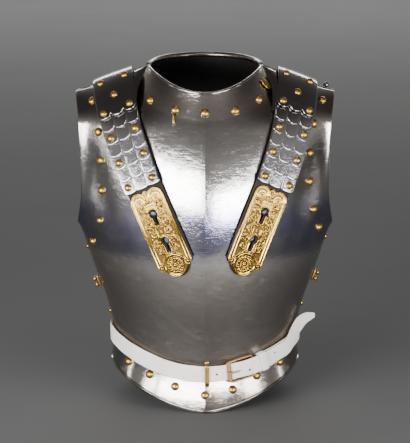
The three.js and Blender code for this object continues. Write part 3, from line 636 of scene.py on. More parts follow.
# ---------------------------------------------------------------- the two plates
def plate(face, thick):
    """Grids of the outer and the inner surface, with the levels of their rows."""
    half = np.linspace(0, 1, 66)
    columns = np.concatenate([-half[:0:-1], half])
    ups = np.concatenate([np.linspace(0, WAIST_UP, 15), np.linspace(WAIST_UP, ARMPIT_UP, 36)[1:],
                          np.linspace(ARMPIT_UP, CHEST_UP, 42)[1:], np.linspace(CHEST_UP, CREST_UP, 24)[1:]])
    a, u = np.meshgrid(columns, ups)
    outer = skin(face, a, u)
    normal = normal_of(skin, face, a, u)
    normal[0, :, 2] = 0
    inner = outer - unit(normal) * thick
    if face == "back":
        outer, inner = outer[:, ::-1], inner[:, ::-1]
    return outer, inner, ups


def add_plate(build, face, thick):
    """The plate, with a crease at the waist and, in front, one down the middle."""
    outer, inner, ups = plate(face, thick)
    rows, count = outer.shape[:2]
    verts, faces, tags = shell(outer, inner, 4, (0, 0, 1))
    verts[:, 2] = np.maximum(verts[:, 2], 0)
    waist = int(np.argmin(abs(ups - WAIST_UP)))
    middle = count // 2
    sharp = [(waist * count + j, waist * count + j + 1) for j in range(count - 1)]
    if face == "front":
        sharp += [(i * count + middle, (i + 1) * count + middle) for i in range(rows - 1)]
    build.add(verts, faces, tags, sharp)


RIVET_RADIUS, RIVET_HEIGHT = 6.0, 4.6
DOME = [(0.0, 0.0)] + [(math.cos(t), math.sin(t)) for t in np.linspace(0, math.pi / 2, 9)[:-1]] + [(0.0, 1.0)]


def dome(radius, height, sink=0.6):
    """A domed head with its skirt sunk a little below the surface."""
    profile = [(0.0, -sink), (radius, -sink)]
    profile += [(radius * c, height * s) for c, s in DOME[1:-1]] + [(0.0, height)]
    return lathe(profile, 24)


def put_rivets(build, points, normals, radius, height, rise=0.2, mat=0):
    for point, normal in zip(points, normals):
        verts, faces = dome(radius, height)
        build.add(seat(verts, point, normal, rise=rise), faces, mat)


RIVETS = {
    "neck": [(-74, 427), (-40, 417), (0, 414), (41, 416), (73, 428)],
    "arm_left": [(-153, 420), (-144, 382), (-141, 344), (-140, 303), (-143, 260), (-154, 226)],
    "arm_right": [(160, 420), (147, 393), (142, 354), (142, 315), (148, 275), (156, 247)],
    "skirt": [(-106, 56), (-76, 45), (-41, 33), (0, 24), (38, 29), (71, 44), (104, 56)],
}
SEAM_RIVETS = {-1: (209, 116), 1: (223, 127)}
SEAM_RIVET_AT = 0.955
SHOULDER_BALL = {"x": 167.0, "z": 427.0, "radius": 3.8, "stem": 1.9, "rise": 5.5}
BACK_RIVETS = [(56, 376), (143, 300), (143, 356), (48, 28)]
PIN = {"x": [-41.0, -41.2, -41.4, -41.5, -41.6], "z": [412.0, 409, 406, 402, 398],
       "rise": [3.4, 3.6, 3.2, 2.8, 2.4], "radius": [1.0, 1.5, 1.2, 1.9, 1.3]}
HEM_REACH, HEM_UP = 0.985, 3.0


def hem_bead(build, face, radius, inward):
    """A bead along the lower edge, kept clear of the ground."""
    turns = np.linspace(-HEM_REACH, HEM_REACH, 121)
    line = skin(face, turns, HEM_UP) - normal_of(skin, face, turns, HEM_UP) * inward
    line[:, 2] = np.maximum(line[:, 2], radius + 0.2)
    build.add(*tube(line, radius))


def breastplate():
    build = Build()
    add_plate(build, "front", BREAST_THICK)
    # thin beads along the neck, the hem and the side seams
    build.add(*tube(skin("front", np.linspace(-NECK_SHARE, NECK_SHARE, 73), CREST_UP), 2.1))
    hem_bead(build, "front", 1.7, 0.2)
    for side in (-1, 1):
        at = ("front", side * 0.998, np.linspace(6, ARMPIT_UP, 60))
        build.add(*tube(skin(*at) - normal_of(skin, *at) * 1.2, 1.75))
    for side, heights in SEAM_RIVETS.items():
        for z in heights:
            at = ("front", side * SEAM_RIVET_AT, up_at_seam(z))
            put_rivets(build, [skin(*at)], [normal_of(skin, *at)], 3.8, 3.0, 0, 2)
    # inner ends of the neck rivets
    spots, normals = spot_on("front", *np.array(RIVETS["neck"], float).T)
    put_rivets(build, spots - normals * BREAST_THICK, -normals, 4.2, 1.4, 0, 1)
    build.make("breastplate_fine", [STEEL, LINING, RIVET_BRASS], ["breastplate"])


def backplate():
    build = Build()
    add_plate(build, "back", BACK_THICK)
    share = np.linspace(-NECK_SHARE * 1.02, NECK_SHARE * 1.02, 81)
    rim = skin("back", share, CREST_UP) + normal_of(skin, "back", share, CREST_UP) * 1.0
    build.add(*tube(rim - np.array([0, 0, 2.6]), 3.9, 16))
    hem_bead(build, "back", 1.5, 0)
    point, normal = spot_on("back", np.array(SHOULDER_BALL["x"]), np.array(SHOULDER_BALL["z"]))
    stem, rise, radius = SHOULDER_BALL["stem"], SHOULDER_BALL["rise"], SHOULDER_BALL["radius"]
    profile = [(0, -1), (stem * 1.5, -1), (stem * 1.3, 0.6), (stem, 1.4), (stem, rise - radius + 0.4)]
    turns = np.radians(np.linspace(-55, 80, 12))
    profile += [(radius * math.cos(t), rise + radius * math.sin(t)) for t in turns]
    verts, faces = lathe(profile + [(0, rise + radius)], 24)
    build.add(seat(verts, point, normal), faces)
    for x, z in BACK_RIVETS:
        for side in (-1, 1):
            point, normal = spot_on("back", np.array([side * x]), np.array([z]))
            put_rivets(build, point, normal, 6, 4.2, 0, 2)
    build.make("backplate_fine", [BACK_STEEL, LINING, RIVET_BRASS], ["backplate"])


def hanging_pin(build):
    """A small turned pin hangs below the second rivet of the neck."""
    spots, normals = spot_on("front", PIN["x"], PIN["z"])
    build.add(*tube(spots + normals * np.array(PIN["rise"])[:, None], PIN["radius"], 10))


breastplate()
backplate()
for group, places in RIVETS.items():
    build = Build()
    put_rivets(build, *spot_on("front", *np.array(places, float).T), RIVET_RADIUS, RIVET_HEIGHT)
    if group == "neck":
        hanging_pin(build)
    nodes = [f"rivet_{group}_{k + 1}" for k in range(len(places))]
    build.make(f"rivets_{group}", [RIVET_BRASS], nodes)


# ---------------------------------------------------------------- routes over the body
class Route:
    """A smooth line over the body with the surface's normals, measured by its length."""

    def __init__(self, points, normals):
        points, normals = np.array(points, float), np.array(normals, float)
        self.stops = np.concatenate([[0], np.cumsum(np.linalg.norm(np.diff(points, axis=0), axis=1))])
        self.total = self.stops[-1]
        self.tracks = [spline(self.stops, points[:, c]) for c in range(3)]
        self.turns = [spline(self.stops, normals[:, c]) for c in range(3)]

    def point(self, l):
        return np.stack([track(l) for track in self.tracks], -1)

    def axes(self, l):
        along = unit(self.point(l + 0.5) - self.point(l - 0.5))
        across = unit(np.cross(along, np.stack([turn(l) for turn in self.turns], -1)))
        return across, along, np.cross(across, along)

    def place(self, w, l, h):
        """A point w across the route, l along it and h above it."""
        w, l, h = arrays(w, l, h)
        across, _, normal = self.axes(l)
        return self.point(l) + across * w[..., None] + normal * h[..., None]


def slab(route, w, l, high, low, steps=3):
    """A solid between two heights over a grid that lies along the route."""
    return shell(route.place(w, l, high), route.place(w, l, low), steps)


STRAP_LIFT = 2.0
LEATHER = {"half": 27.0, "thick": 2.2, "inward": 1.0}
SCALE = {"half": 28.0, "thick": 1.0, "low": 3.0, "rise": 2.4, "pitch": 17.5, "lap": 5.0, "first": 128.5,
         "rows": 6, "lobes": 3, "cut": 6.0}
STRAP_RIVET = {"radius": 5.4, "height": 4.3, "across": 19.3, "up": 9.0}
LOBE = 2 * SCALE["half"] / SCALE["lobes"]
CAP = {"thick": 1.2, "from": 233.5, "level": 3.3, "rise": 3.4, "slope": 14,
       "rivets": [(-19.3, 242), (19.3, 242), (0, 268), (-17.5, 304), (17.5, 304)]}
# places (x, z) that the middle of each strap passes on the breastplate, and its x at the crest
STRAPS = {
    "left": {
        "front": [(-31, 196), (-52.5, 247), (-82.5, 317), (-99.5, 362), (-108.5, 388), (-115.5, 410),
                  (-120.5, 427)],
        "crest": -125.5,
    },
    "right": {
        "front": [(45, 196), (63.5, 247), (91.5, 317), (107, 362), (114, 388), (119, 410), (123, 427)],
        "crest": 125.5,
    },
}
# places on the backplate, mirrored for the left strap
STRAP_BEHIND = [(126, 430), (125, 415), (123, 394), (119, 364)]


def strap_route(plan):
    """From the end plate up the breast, over the crest and down behind."""
    front, front_normals = spot_on("front", *np.array(plan["front"], float).T)
    x, edge = plan["crest"], CREST["front"]
    side = math.copysign(1, x)
    back, back_normals = spot_on("back", *(np.array(STRAP_BEHIND) * (side, 1)).T)
    share = NECK_SHARE + (1 - NECK_SHARE) * (abs(x) - NECK_HALF) / (SHOULDER_HALF - NECK_HALF)
    top = crest_point("front", side * share)[0]
    top[1], top[2] = (edge["y"] + CREST["back"]["y"]) / 2, top[2] + 1
    slope = (edge["side"] - edge["corner"]) / (SHOULDER_HALF - NECK_HALF)
    top_normal = unit(np.array([side * slope, 0, 1]))
    points = np.concatenate([front, [top], back])
    normals = np.concatenate([front_normals, [top_normal], back_normals])
    return Route(points + normals * STRAP_LIFT, normals)


BELT = {"half": 11.5, "thick": 2.4, "clear": 4.6, "spare": 0.5, "taper": 34.0, "tip": 2.5}
INNER_RISE = BELT["clear"] + BELT["thick"] / 2
OUTER_RISE = INNER_RISE + BELT["thick"] + BELT["spare"]
# turn round the waist (0 the middle of the front, 1 the right seam), and the belt's rise above it
LONG_ROWS = [(turn, INNER_RISE) for turn in (-1.4, -1.25, -1.1, -0.93, -0.7, -0.5, -0.3, -0.1, 0.08)]
LONG_ROWS += [(0.18, INNER_RISE + 0.8), (0.28, OUTER_RISE + 1), (0.38, OUTER_RISE + 1.6),
              (0.48, OUTER_RISE + 0.6), (0.56, OUTER_RISE), (0.64, OUTER_RISE + 0.3)]
# steps of the free tail away from the last row, and the way its face looks
TAIL = [((9, 14, 14), (0.82, -0.57, 0)), ((22, 29, 30), (0.76, -0.65, 0)), ((40, 46, 33), (0.7, -0.72, 0))]
SHORT_ROWS = [(turn, INNER_RISE) for turn in (0.39, 0.5, 0.6, 0.7, 0.82, 0.93, 1.1, 1.25, 1.4)]


def waist_spot(turn):
    """A point of the waist line; turns beyond 1 or -1 are on the backplate."""
    face = "front" if abs(turn) < 1 else "back"
    return skin(face, turn if face == "front" else math.copysign(2 - abs(turn), turn), WAIST_UP)


def waist_route(rows, tail=()):
    points, normals = [], []
    for turn, rise in rows:
        way = waist_spot(turn + 0.02) - waist_spot(turn - 0.02)
        out = unit(np.array([way[1], -way[0], 0]))
        lap = BREAST_THICK + SEAM_GAP if abs(turn) > 1 else 0
        points.append(waist_spot(turn) + out * (rise + lap))
        normals.append(out)
    end = points[-1]
    for step, way in tail:
        points.append(end + np.array(step))
        normals.append(unit(np.array(way, float)))
    return Route(points, normals)


def waist_near(turn):
    """The route close by one turn, and its length where it passes that turn."""
    route = waist_route([(turn + step, 0) for step in (-0.2, -0.1, 0, 0.1, 0.2)])
    return route, route.stops[2]


def lobes(w):
    """Where each w is within its lobe, 0 to 1, and the round of the lobe there."""
    off = ((w + SCALE["half"]) / LOBE) % 1
    return off, hump(2 * off - 1, 1)


def strap_rivet(build, route, w, l, height):
    point, normal = route.place(w, l, height), route.axes(np.array(float(l)))[2]
    put_rivets(build, [point], [normal], STRAP_RIVET["radius"], STRAP_RIVET["height"], 0, 1)


def scale_row(route, k, name):
    """Three overlapping lobes: bright rounded lower edges, a domed face, rivets on every second row."""
    build = Build()
    low = SCALE["first"] + k * SCALE["pitch"]
    high = low + SCALE["pitch"] + SCALE["lap"]
    w = np.linspace(-SCALE["half"], SCALE["half"], SCALE["lobes"] * 16 + 1)
    off, arc = lobes(w)
    lower = low + SCALE["cut"] * (1 - arc) * (0.35 if k == 0 else 1)
    share = np.concatenate([[0, 0.012, 0.03, 0.06, 0.1], np.linspace(0.15, 1, 12)])
    grid_w = np.broadcast_to(w, (len(share), len(w)))
    grid_l = lower + (high - lower) * share[:, None]
    base = SCALE["low"] + SCALE["rise"] * np.clip((high - grid_l) / (high - low), 0, 1)
    lip = rounding((grid_l - lower) / 0.9) * 0.5 - 0.5
    # the lobe swells, and creases part it from its neighbours, both fading upward
    puff = 0.55 * arc * np.clip(1 - (grid_l - low) / 22, 0, 1)
    from_crease = np.minimum(off, 1 - off) * LOBE
    crease = -0.35 * np.exp(-(from_crease / 0.7) ** 2) * np.clip(1 - (grid_l - low) / 20, 0, 1)
    top = base + SCALE["thick"] + lip + puff + crease
    build.add(*slab(route, grid_w, grid_l, top, base + 0.1))
    if k % 2 == 0:
        l = low + STRAP_RIVET["up"]
        height = SCALE["low"] + SCALE["rise"] * (high - l) / (high - low) + SCALE["thick"]
        for side in (-1, 1):
            strap_rivet(build, route, side * STRAP_RIVET["across"], l, height)
    build.make(f"scales_{name}_{k + 1}", [SCALE_STEEL, RIVET_BRASS], [f"scale_{name}_{k + 1}"])


def shoulder_cap(route, name):
    """A long plate over the shoulder with a scalloped lower edge, and three scale rows behind it."""
    build = Build()
    rows_behind, lap = 3, 4
    steps_from = route.total - 14 - rows_behind * SCALE["pitch"]
    half = SCALE["half"]
    w = np.linspace(-half, half, 25)
    grid_l, grid_w = grid(np.linspace(CAP["from"], steps_from + lap, 70), w)
    scallop = SCALE["cut"] * (1 - lobes(w)[1]) * np.clip(1 - (grid_l - CAP["from"]) / 22, 0, 1) ** 1.5
    grid_l = grid_l + scallop
    under = CAP["level"] + CAP["rise"] * np.clip((CAP["from"] + CAP["slope"] - grid_l) / CAP["slope"], 0, 1)
    crown = 0.8 * (1 - (grid_w / half) ** 2)
    build.add(*slab(route, grid_w, grid_l, under + CAP["thick"] + crown, under, 4))
    w = np.linspace(-half, half, 49)
    arc = lobes(w)[1]
    for k in range(rows_behind):
        start, long = steps_from + k * SCALE["pitch"], SCALE["pitch"] + lap
        grid_l, grid_w = grid(np.linspace(start, start + long, 14), w)
        share = (grid_l - start) / long
        grid_l = grid_l - SCALE["cut"] * (1 - arc) * share
        lift = CAP["level"] + 0.4 + 1.6 * share
        build.add(*slab(route, grid_w, grid_l, lift + 1.0 + 0.4 * arc * share, lift))
    for w, l in CAP["rivets"]:
        rise = CAP["rise"] * max(0, (CAP["from"] + CAP["slope"] - l) / CAP["slope"])
        strap_rivet(build, route, w, l, CAP["level"] + CAP["thick"] + rise + 0.3)
    build.make(f"shoulder_cap_fine_{name}", [SCALE_STEEL, RIVET_BRASS], [f"shoulder_cap_{name}"])


# ---------------------------------------------------------------- relief end plates
END = {"half": 25.5, "low": 2.6, "lobe_at": 113.0, "lobe": 12.75}
ROSETTE = {"at": 18.0, "radius": 17.2, "petals": 8}
KEYHOLE = {"radius": 5.8, "slot": 3.1, "reach": 16.0, "places": (53.5, 92.5)}
# scrolls of each half: across, along, radius, angle at the start, turns
SCROLLS = [(11.5, 103, 5.2, 250, 1.3), (12.5, 92, 4.8, 120, 1.2), (12.0, 80, 5.6, 260, 1.4),
           (11.0, 66.5, 5.8, 100, 1.4), (12.5, 54, 4.8, 250, 1.2), (12.0, 42, 5.2, 110, 1.3),
           (4.6, 74, 3.8, 0, 1.1)]
# leaf stems that join one scroll to the next: from, to, bow
STEMS = [(108, 97, 3.0), (97, 84, -3.0), (84, 70, 3.4), (70, 57, -3.0), (57, 44, 3.0), (44, 33, -2.5)]
# small beads among the leaves, the same in both halves: across, along, radius
BEADS = [(0, 74, 2.2), (0, 83.5, 1.4), (0, 66, 1.4), (11.5, 103, 1.2), (12.5, 92, 1.2), (12, 80, 1.3),
         (11, 66.5, 1.3), (12.5, 54, 1.2), (12, 42, 1.2), (7.5, 86.5, 1.1), (7.2, 60.5, 1.1), (7.5, 48, 1.1),
         (16.5, 74, 1.1), (16.5, 98, 1.0), (16.6, 60, 1.0), (8, 37.5, 1.2)]


# shapes are given by a distance: below 0 inside, above 0 outside
def box_distance(w, l, half_w, low, high):
    dw, dl = np.abs(w) - half_w, np.abs(l - (low + high) / 2) - (high - low) / 2
    return np.hypot(np.maximum(dw, 0), np.maximum(dl, 0)) + np.minimum(np.maximum(dw, dl), 0)


def keyhole_distance(w, l, at):
    """A round hole at the length given, with a slot that runs down from it."""
    ring = np.hypot(w, l - at) - KEYHOLE["radius"]
    return np.minimum(ring, box_distance(w, l, KEYHOLE["slot"], at - KEYHOLE["reach"], at))


def plate_distance(w, l):
    body = box_distance(w, l, END["half"], 19.0, END["lobe_at"])
    for side in (-1, 1):
        body = np.minimum(body, np.hypot(w - side * END["lobe"], l - END["lobe_at"]) - END["lobe"])
        body = np.minimum(body, np.hypot(w - side * 19.4, l - 18.6) - 4.8)
    body = np.minimum(body, np.hypot(w, l - ROSETTE["at"]) - ROSETTE["radius"])
    return np.minimum(body, np.hypot(w * 1.4, l - 120) - 5.5)


def keyholes(w, l):
    return np.minimum(*(keyhole_distance(w, l, at) for at in KEYHOLE["places"]))


def plate_outline(w, l):
    return np.maximum(plate_distance(w, l), -keyholes(w, l))


def spiral(w, l, radius, start, turns, side):
    """Points (w, l) of a scroll that winds in to its centre, and the half width of its strand at each."""
    k = np.linspace(0, 1, 60)
    angle = np.radians(start) + side * k * turns * 2 * math.pi
    r = radius * (1 - k) ** 0.8
    half = 0.55 + 0.75 * np.sin(math.pi * np.clip(k * 1.1, 0, 1)) ** 0.7
    return w + r * np.cos(angle), l + r * np.sin(angle), half


def stem(side, start, end, bow):
    k = np.linspace(0, 1, 30)
    arch = np.sin(math.pi * k)
    return side * (12 + bow * arch + 3.2 * np.sign(bow)), mix(start, end, k), 0.5 + 0.5 * arch


def strands():
    for side in (-1, 1):
        for w, l, radius, start, turns in SCROLLS:
            yield spiral(side * w, l, radius, start if side > 0 else 180 - start, turns, side)
        for start, end, bow in STEMS:
            yield stem(side, start, end, bow)


def relief(w, l):
    """Height of the end plate's face above its underside, mm."""
    edge = -plate_distance(w, l)
    from_rosette = np.hypot(w, l - ROSETTE["at"])
    height = np.full_like(w, 1.2)
    # moulding round the edge: fine bead, cove, broad bead
    height += 1.3 * hump(edge - 1.1, 1.1)
    height += np.where((edge > 1.9) & (edge < 4.4), 0.5 * np.sin(math.pi * (edge - 1.9) / 2.5), 0)
    height += 1.2 * hump(edge - 5.2, 0.9)
    field = (edge > 6.2) & (from_rosette > ROSETTE["radius"] + 0.2)
    leaves = np.zeros_like(w)
    for sw, sl, half in strands():
        near = (w > sw.min() - 2) & (w < sw.max() + 2) & (l > sl.min() - 2) & (l < sl.max() + 2)
        if not near.any():
            continue
        gap = np.hypot(w[near][:, None] - sw, l[near][:, None] - sl)
        best = gap.argmin(1)
        found = 1.6 * hump(gap[np.arange(len(best)), best], half[best])
        leaves[near] = np.maximum(leaves[near], found)
    for bw, bl, radius in BEADS:
        leaves = np.maximum(leaves, 2.0 * hump(np.hypot(np.abs(w) - bw, l - bl), radius))
    ground = 0.22 * (np.sin(w * 4.1 + np.sin(l * 1.7)) * np.sin(l * 3.7 + np.sin(w * 2.3)))
    height = np.where(field, np.maximum(height, 1.0 + ground + leaves), height)
    # raised lips round the keyholes
    for at in KEYHOLE["places"]:
        lip = keyhole_distance(w, l, at)
        height = np.where((lip < 1.9) & field, np.maximum(1.4, 1.4 + 0.9 * hump(lip - 0.8, 1.0)), height)
    # small ringed rivets in the lobes, a fleur between them
    for side in (-1, 1):
        gap = np.hypot(w - side * END["lobe"], l - END["lobe_at"] + 1)
        height = np.where(gap < 6.6, 1.35 + 0.5 * hump(gap - 4.4, 0.8) + 1.5 * hump(gap, 2.1), height)
    fleur = 1.7 * hump(w, 1.3) * (np.abs(l - 117) < 8)
    fleur = np.maximum(fleur, 1.4 * hump(np.hypot(np.abs(w) - 3.2, (l - 111) * 0.6), 1.9))
    height = np.where((np.abs(w) < 6) & (l > 104) & (l < 125.5), np.maximum(height, 1.3 + fleur), height)
    # the rosette: ring of two-lobed petals, centre, rim
    disc = from_rosette <= ROSETTE["radius"] + 0.2
    angle = np.arctan2(l - ROSETTE["at"], w)
    petals = ROSETTE["petals"]
    fold = np.abs((angle / (2 * math.pi / petals)) % 1 * 2 - 1) * math.pi / petals
    out, off = from_rosette * np.cos(fold), from_rosette * np.sin(fold)
    face = 1.3 + 2.2 * hump(np.hypot((out - 9.3) / 1.5, off - 1.75), 1.7)
    face = np.maximum(face, 1.3 + 1.7 * hump(np.hypot((out - 6.2) / 2.6, off - 0.75), 0.95))
    face = np.maximum(face, 1.3 + 2.5 * hump(from_rosette, 2.5))
    face = np.maximum(face, 1.7 + 1.5 * hump(from_rosette - 15.3, 1.5))
    face = np.maximum(face, 1.5 + 0.5 * hump(from_rosette - 13.3, 0.5))
    height = np.where(disc, face, height)
    # beads in the two ears
    for side in (-1, 1):
        gap = np.hypot(w - side * 19.8, l - 19)
        height = np.where(gap < 3.6, 1.5 + 2.4 * hump(gap, 2.6), height)
    # everything rounds off at the outline and the keyholes
    rim = np.minimum(edge, keyholes(w, l)) / 0.7
    return height * mix(0.55, 1, rounding(rim))


def end_plate(route, name):
    build = Build()
    ws, ls = np.linspace(-26.2, 26.2, 132), np.linspace(-0.6, 127.2, 322)
    verts, faces, _ = sheet(route.place, ws, ls, plate_outline, lambda w, l: END["low"] + relief(w, l),
                            lambda w, l: np.full_like(w, END["low"]))
    build.add(verts, faces)
    build.make(f"end_plate_fine_{name}", [BRASS], [f"end_plate_{name}"])


def strap_leather(route, name, side):
    """The strap under the scales and the end plate, with the keyholes cut through it."""
    build = Build()
    offset = LEATHER["inward"] * side

    def outline(w, l):
        w = w - offset
        body = box_distance(w, l, LEATHER["half"] - 0.6, 20.0, route.total)
        body = np.minimum(body, np.hypot(w, l - 19.0) - 18.6)
        return np.maximum(body, -keyholes(w + offset, l) - 1.8)

    def height(w, l):
        return 0.9 + (LEATHER["thick"] - 0.9) * rounding(-outline(w, l))

    ws = np.linspace(-27.5, 27.5, 56)
    ls = np.linspace(-1.0, route.total + 0.5, int(route.total / 1.25))
    verts, faces, _ = sheet(route.place, ws, ls, outline, height, lambda w, l: np.zeros_like(w))
    build.add(verts, faces)
    build.make(f"strap_leather_fine_{name}", [BROWN], [f"strap_leather_{name}"])


def stud(route, name):
    build = Build()
    at = np.array(KEYHOLE["places"][1])
    top = END["low"] + 3.2
    profile = [(0, 0), (2.6, 0), (2.6, top - 1.6), (4.9, top - 1.5), (4.9, top - 0.6), (3.9, top),
               (0, top + 0.4)]
    verts, faces = lathe(profile, 24)
    build.add(seat(verts, route.point(at), route.axes(at)[2]), faces)
    # the stud's near-black steel is painted shade inside the keyhole
    build.make(f"stud_fine_{name}", [STUD_SHADE_STEEL], [f"stud_{name}"])


for name, plan in STRAPS.items():
    route = strap_route(plan)
    strap_leather(route, name, 1 if name == "left" else -1)
    for k in range(SCALE["rows"]):
        scale_row(route, k, name)
    shoulder_cap(route, name)
    end_plate(route, name)
    stud(route, name)


# ---------------------------------------------------------------- belt, buckle, keeper and loop
BUCKLE = {"turn": 0.245, "half_long": 18.5, "half_wide": 14.6, "corner": 4.5, "bar": 1.5, "near": 9.4,
          "far": 7.0}
KEEPER = {"turn": 0.402, "half": 5.0, "half_wide": 12.2, "low": 3.4, "high": 13.4, "wall": 1.1}
LOOP = {"turn": 0.012, "half": 2.2, "half_wide": 17.0, "foot": 3.6, "over": 7.7, "thick": 1.8}
BELT_HOLES = [(1.0, 280.0), (4.0, 326.6), (-2.0, 348.0), (-2.5, 372.0)]


def belt_strip(name, node, route, holes, taper, shift=0.0):
    """A strap with softly rounded, slightly uneven cut edges and round punched holes."""
    build = Build()

    def outline(w, l):
        half = BELT["half"] - 0.25 + 0.22 * np.sin(l / 13 + 1) + 0.12 * np.sin(l / 4.7)
        if taper:
            half = mix(BELT["tip"], half, np.clip((route.total - l) / BELT["taper"], 0, 1) ** 0.7)
        body = np.maximum(np.abs(w - shift) - half, np.maximum(-l, l - route.total + 0.3))
        for hole_w, hole_l in holes:
            body = np.maximum(body, 1.5 - np.hypot(w - hole_w, l - hole_l))
        return body

    def height(sign):
        def at(w, l):
            edge = np.clip(-outline(w, l) / 1.1, 0, 1)
            swell = 0.18 * np.sin(l / 9.0) * np.sin(w / 5.0 + l / 31)
            return sign * BELT["thick"] / 2 * mix(0.55, 1, rounding(edge)) + swell * edge
        return at

    ws, ls = np.linspace(-13, 13, 32), np.linspace(-0.5, route.total + 0.5, int(route.total / 1.1))
    build.add(*sheet(route.place, ws, ls, outline, height(1), height(-1)))
    build.make(name, [WHITE, TAN], [node])


def rounded_frame(half_w, half_l, corner, count=9):
    """Points (w, l) of a rectangle with round corners."""
    points = []
    for k, (side_w, side_l) in enumerate(((1, 1), (-1, 1), (-1, -1), (1, -1))):
        for turn in np.radians(np.linspace(90 * k, 90 * (k + 1), count)):
            points.append((side_w * (half_w - corner) + corner * math.cos(turn),
                           side_l * (half_l - corner) + corner * math.sin(turn)))
    return np.array(points)


def buckle():
    """A frame with rounded corners and one flat bar, and a tongue with a small curl round the bar."""
    build = Build()
    route, middle = waist_near(BUCKLE["turn"])
    ring = rounded_frame(BUCKLE["half_wide"], BUCKLE["half_long"], BUCKLE["corner"])
    rise = mix(BUCKLE["near"], BUCKLE["far"], (ring[:, 1] / BUCKLE["half_long"] + 1) / 2)
    build.add(*tube(route.place(ring[:, 0], middle + ring[:, 1], rise), BUCKLE["bar"], 12, closed=True))
    # the near bar is a flat, wider one
    l, w = np.linspace(-2.1, 2.1, 9), np.linspace(-1, 1, 31) * (BUCKLE["half_wide"] - 1.2)
    grid_l, grid_w = grid(l, w)
    face = BUCKLE["near"] + 0.5 + 0.9 * np.sqrt(1 - (grid_l / 2.3) ** 2)
    middle_l = middle - BUCKLE["half_long"] + grid_l
    build.add(*slab(route, grid_w, middle_l, face, BUCKLE["near"] - 0.9))
    build.make("buckle_frame_fine", [IRON], ["buckle_frame"])

    build = Build()
    k = np.linspace(0, 1, 16)
    rise = mix(12.6, 11.6, k) + 0.5 * np.sin(math.pi * k)
    rod = route.place(0.5 * np.sin(3 * k), middle + mix(-21.0, -4.2, k), rise)
    build.add(*tube(rod, mix(1.25, 0.75, k), 10))
    turn = 2 * math.pi * k
    curl = route.place(0 * k, middle - 19.6 + 1.7 * np.cos(turn), 11.9 + 1.1 * np.sin(turn))
    build.add(*tube(curl, 0.8, 8))
    build.make("buckle_tongue_fine", [IRON], ["buckle_tongue"])


def band_round(route, middle, half_long, half_wide, low, high, wall):
    """A flat band that runs round the belt as a closed ring, with round edges."""
    ring = rounded_frame(half_wide + wall / 2, (high - low) / 2 + wall / 2, 2.6, 7)
    ring = np.concatenate([ring, ring[:1]])
    way = unit(np.roll(ring[:-1], -1, 0) - np.roll(ring[:-1], 1, 0))
    out = np.stack([way[:, 1], -way[:, 0]], 1)
    out = np.concatenate([out, out[:1]])
    l = np.linspace(-half_long, half_long, 11)
    crown = 0.3 * (1 - (l / half_long) ** 2)
    grids = []
    for side in (1, -1):
        offset = side * wall / 2 + (crown if side > 0 else 0 * crown)
        w = ring[:, :1] + out[:, :1] * offset
        h = ring[:, 1:] + (low + high) / 2 + out[:, 1:] * offset
        grids.append(route.place(w, middle + np.broadcast_to(l, w.shape), h))
    return shell(grids[0], grids[1], 3)


def keeper():
    build = Build()
    route, middle = waist_near(KEEPER["turn"])
    build.add(*band_round(route, middle, KEEPER["half"] - 0.3, KEEPER["half_wide"] - 0.2,
                          KEEPER["low"] + 0.5, KEEPER["high"] - 0.7, KEEPER["wall"]))
    build.make("belt_keeper_fine", [WHITE], ["belt_keeper"])


def brass_loop():
    """A flat brass bar across the belt, bent down to a foot at each end."""
    build = Build()
    route, middle = waist_near(LOOP["turn"])
    w, l = np.linspace(-LOOP["half_wide"], LOOP["half_wide"], 61), np.linspace(-LOOP["half"], LOOP["half"], 9)
    grid_w, grid_l = grid(w, l)
    rise = mix(LOOP["over"], LOOP["foot"], smooth((np.abs(grid_w) / LOOP["half_wide"] - 0.68) / 0.3))
    crown = 0.55 * (1 - (grid_l / LOOP["half"]) ** 2)
    narrow = grid_l * mix(0.8, 1, smooth(np.abs(grid_w) / LOOP["half_wide"] * 1.6 - 0.5))
    build.add(*slab(route, grid_w, middle + narrow, rise + LOOP["thick"] - 0.5 + crown, rise + 0.1, 4))
    build.make("belt_loop_fine", [RIVET_BRASS], ["belt_loop"])


belt_strip("belt_long_fine", "belt_long", waist_route(LONG_ROWS, TAIL), BELT_HOLES, True)
belt_strip("belt_short_fine", "belt_short", waist_route(SHORT_ROWS), [], False, -0.4)
buckle()
keeper()
brass_loop()


# ---------------------------------------------------------------- badge and side catches
BADGE = {"x": 81, "z": 444, "long": 9.5, "wide": 7.0, "thick": 2.2, "rise": 1.6}
CATCH = {"heights": {"left": 161, "right": 170}, "across": 0.94, "half": (8.0, 4.5), "thick": 3.0,
         "ball": 3.3, "apart": 4.5, "rise": 0.8}
# radius and height of the badge's stepped oval, as parts of its size
BADGE_PROFILE = [(0, 0), (0.97, 0), (1.0, 0.25), (0.97, 0.62), (0.86, 0.66), (0.82, 0.5), (0.72, 0.62),
                 (0.5, 0.84), (0.25, 0.96), (0, 1)]


def badge():
    """An oval disc that stands on the breastplate beside the neck."""
    build = Build()
    profile = [(r, h * BADGE["thick"]) for r, h in BADGE_PROFILE]
    verts, faces = lathe(profile, 40, BADGE["long"], BADGE["wide"])
    point, normal = spot_on("front", np.array(float(BADGE["x"])), np.array(float(BADGE["z"])))
    build.add(seat(verts, point, normal, rise=BADGE["rise"]), faces)
    build.make("neck_badge_fine", [RIVET_BRASS], ["neck_badge"])


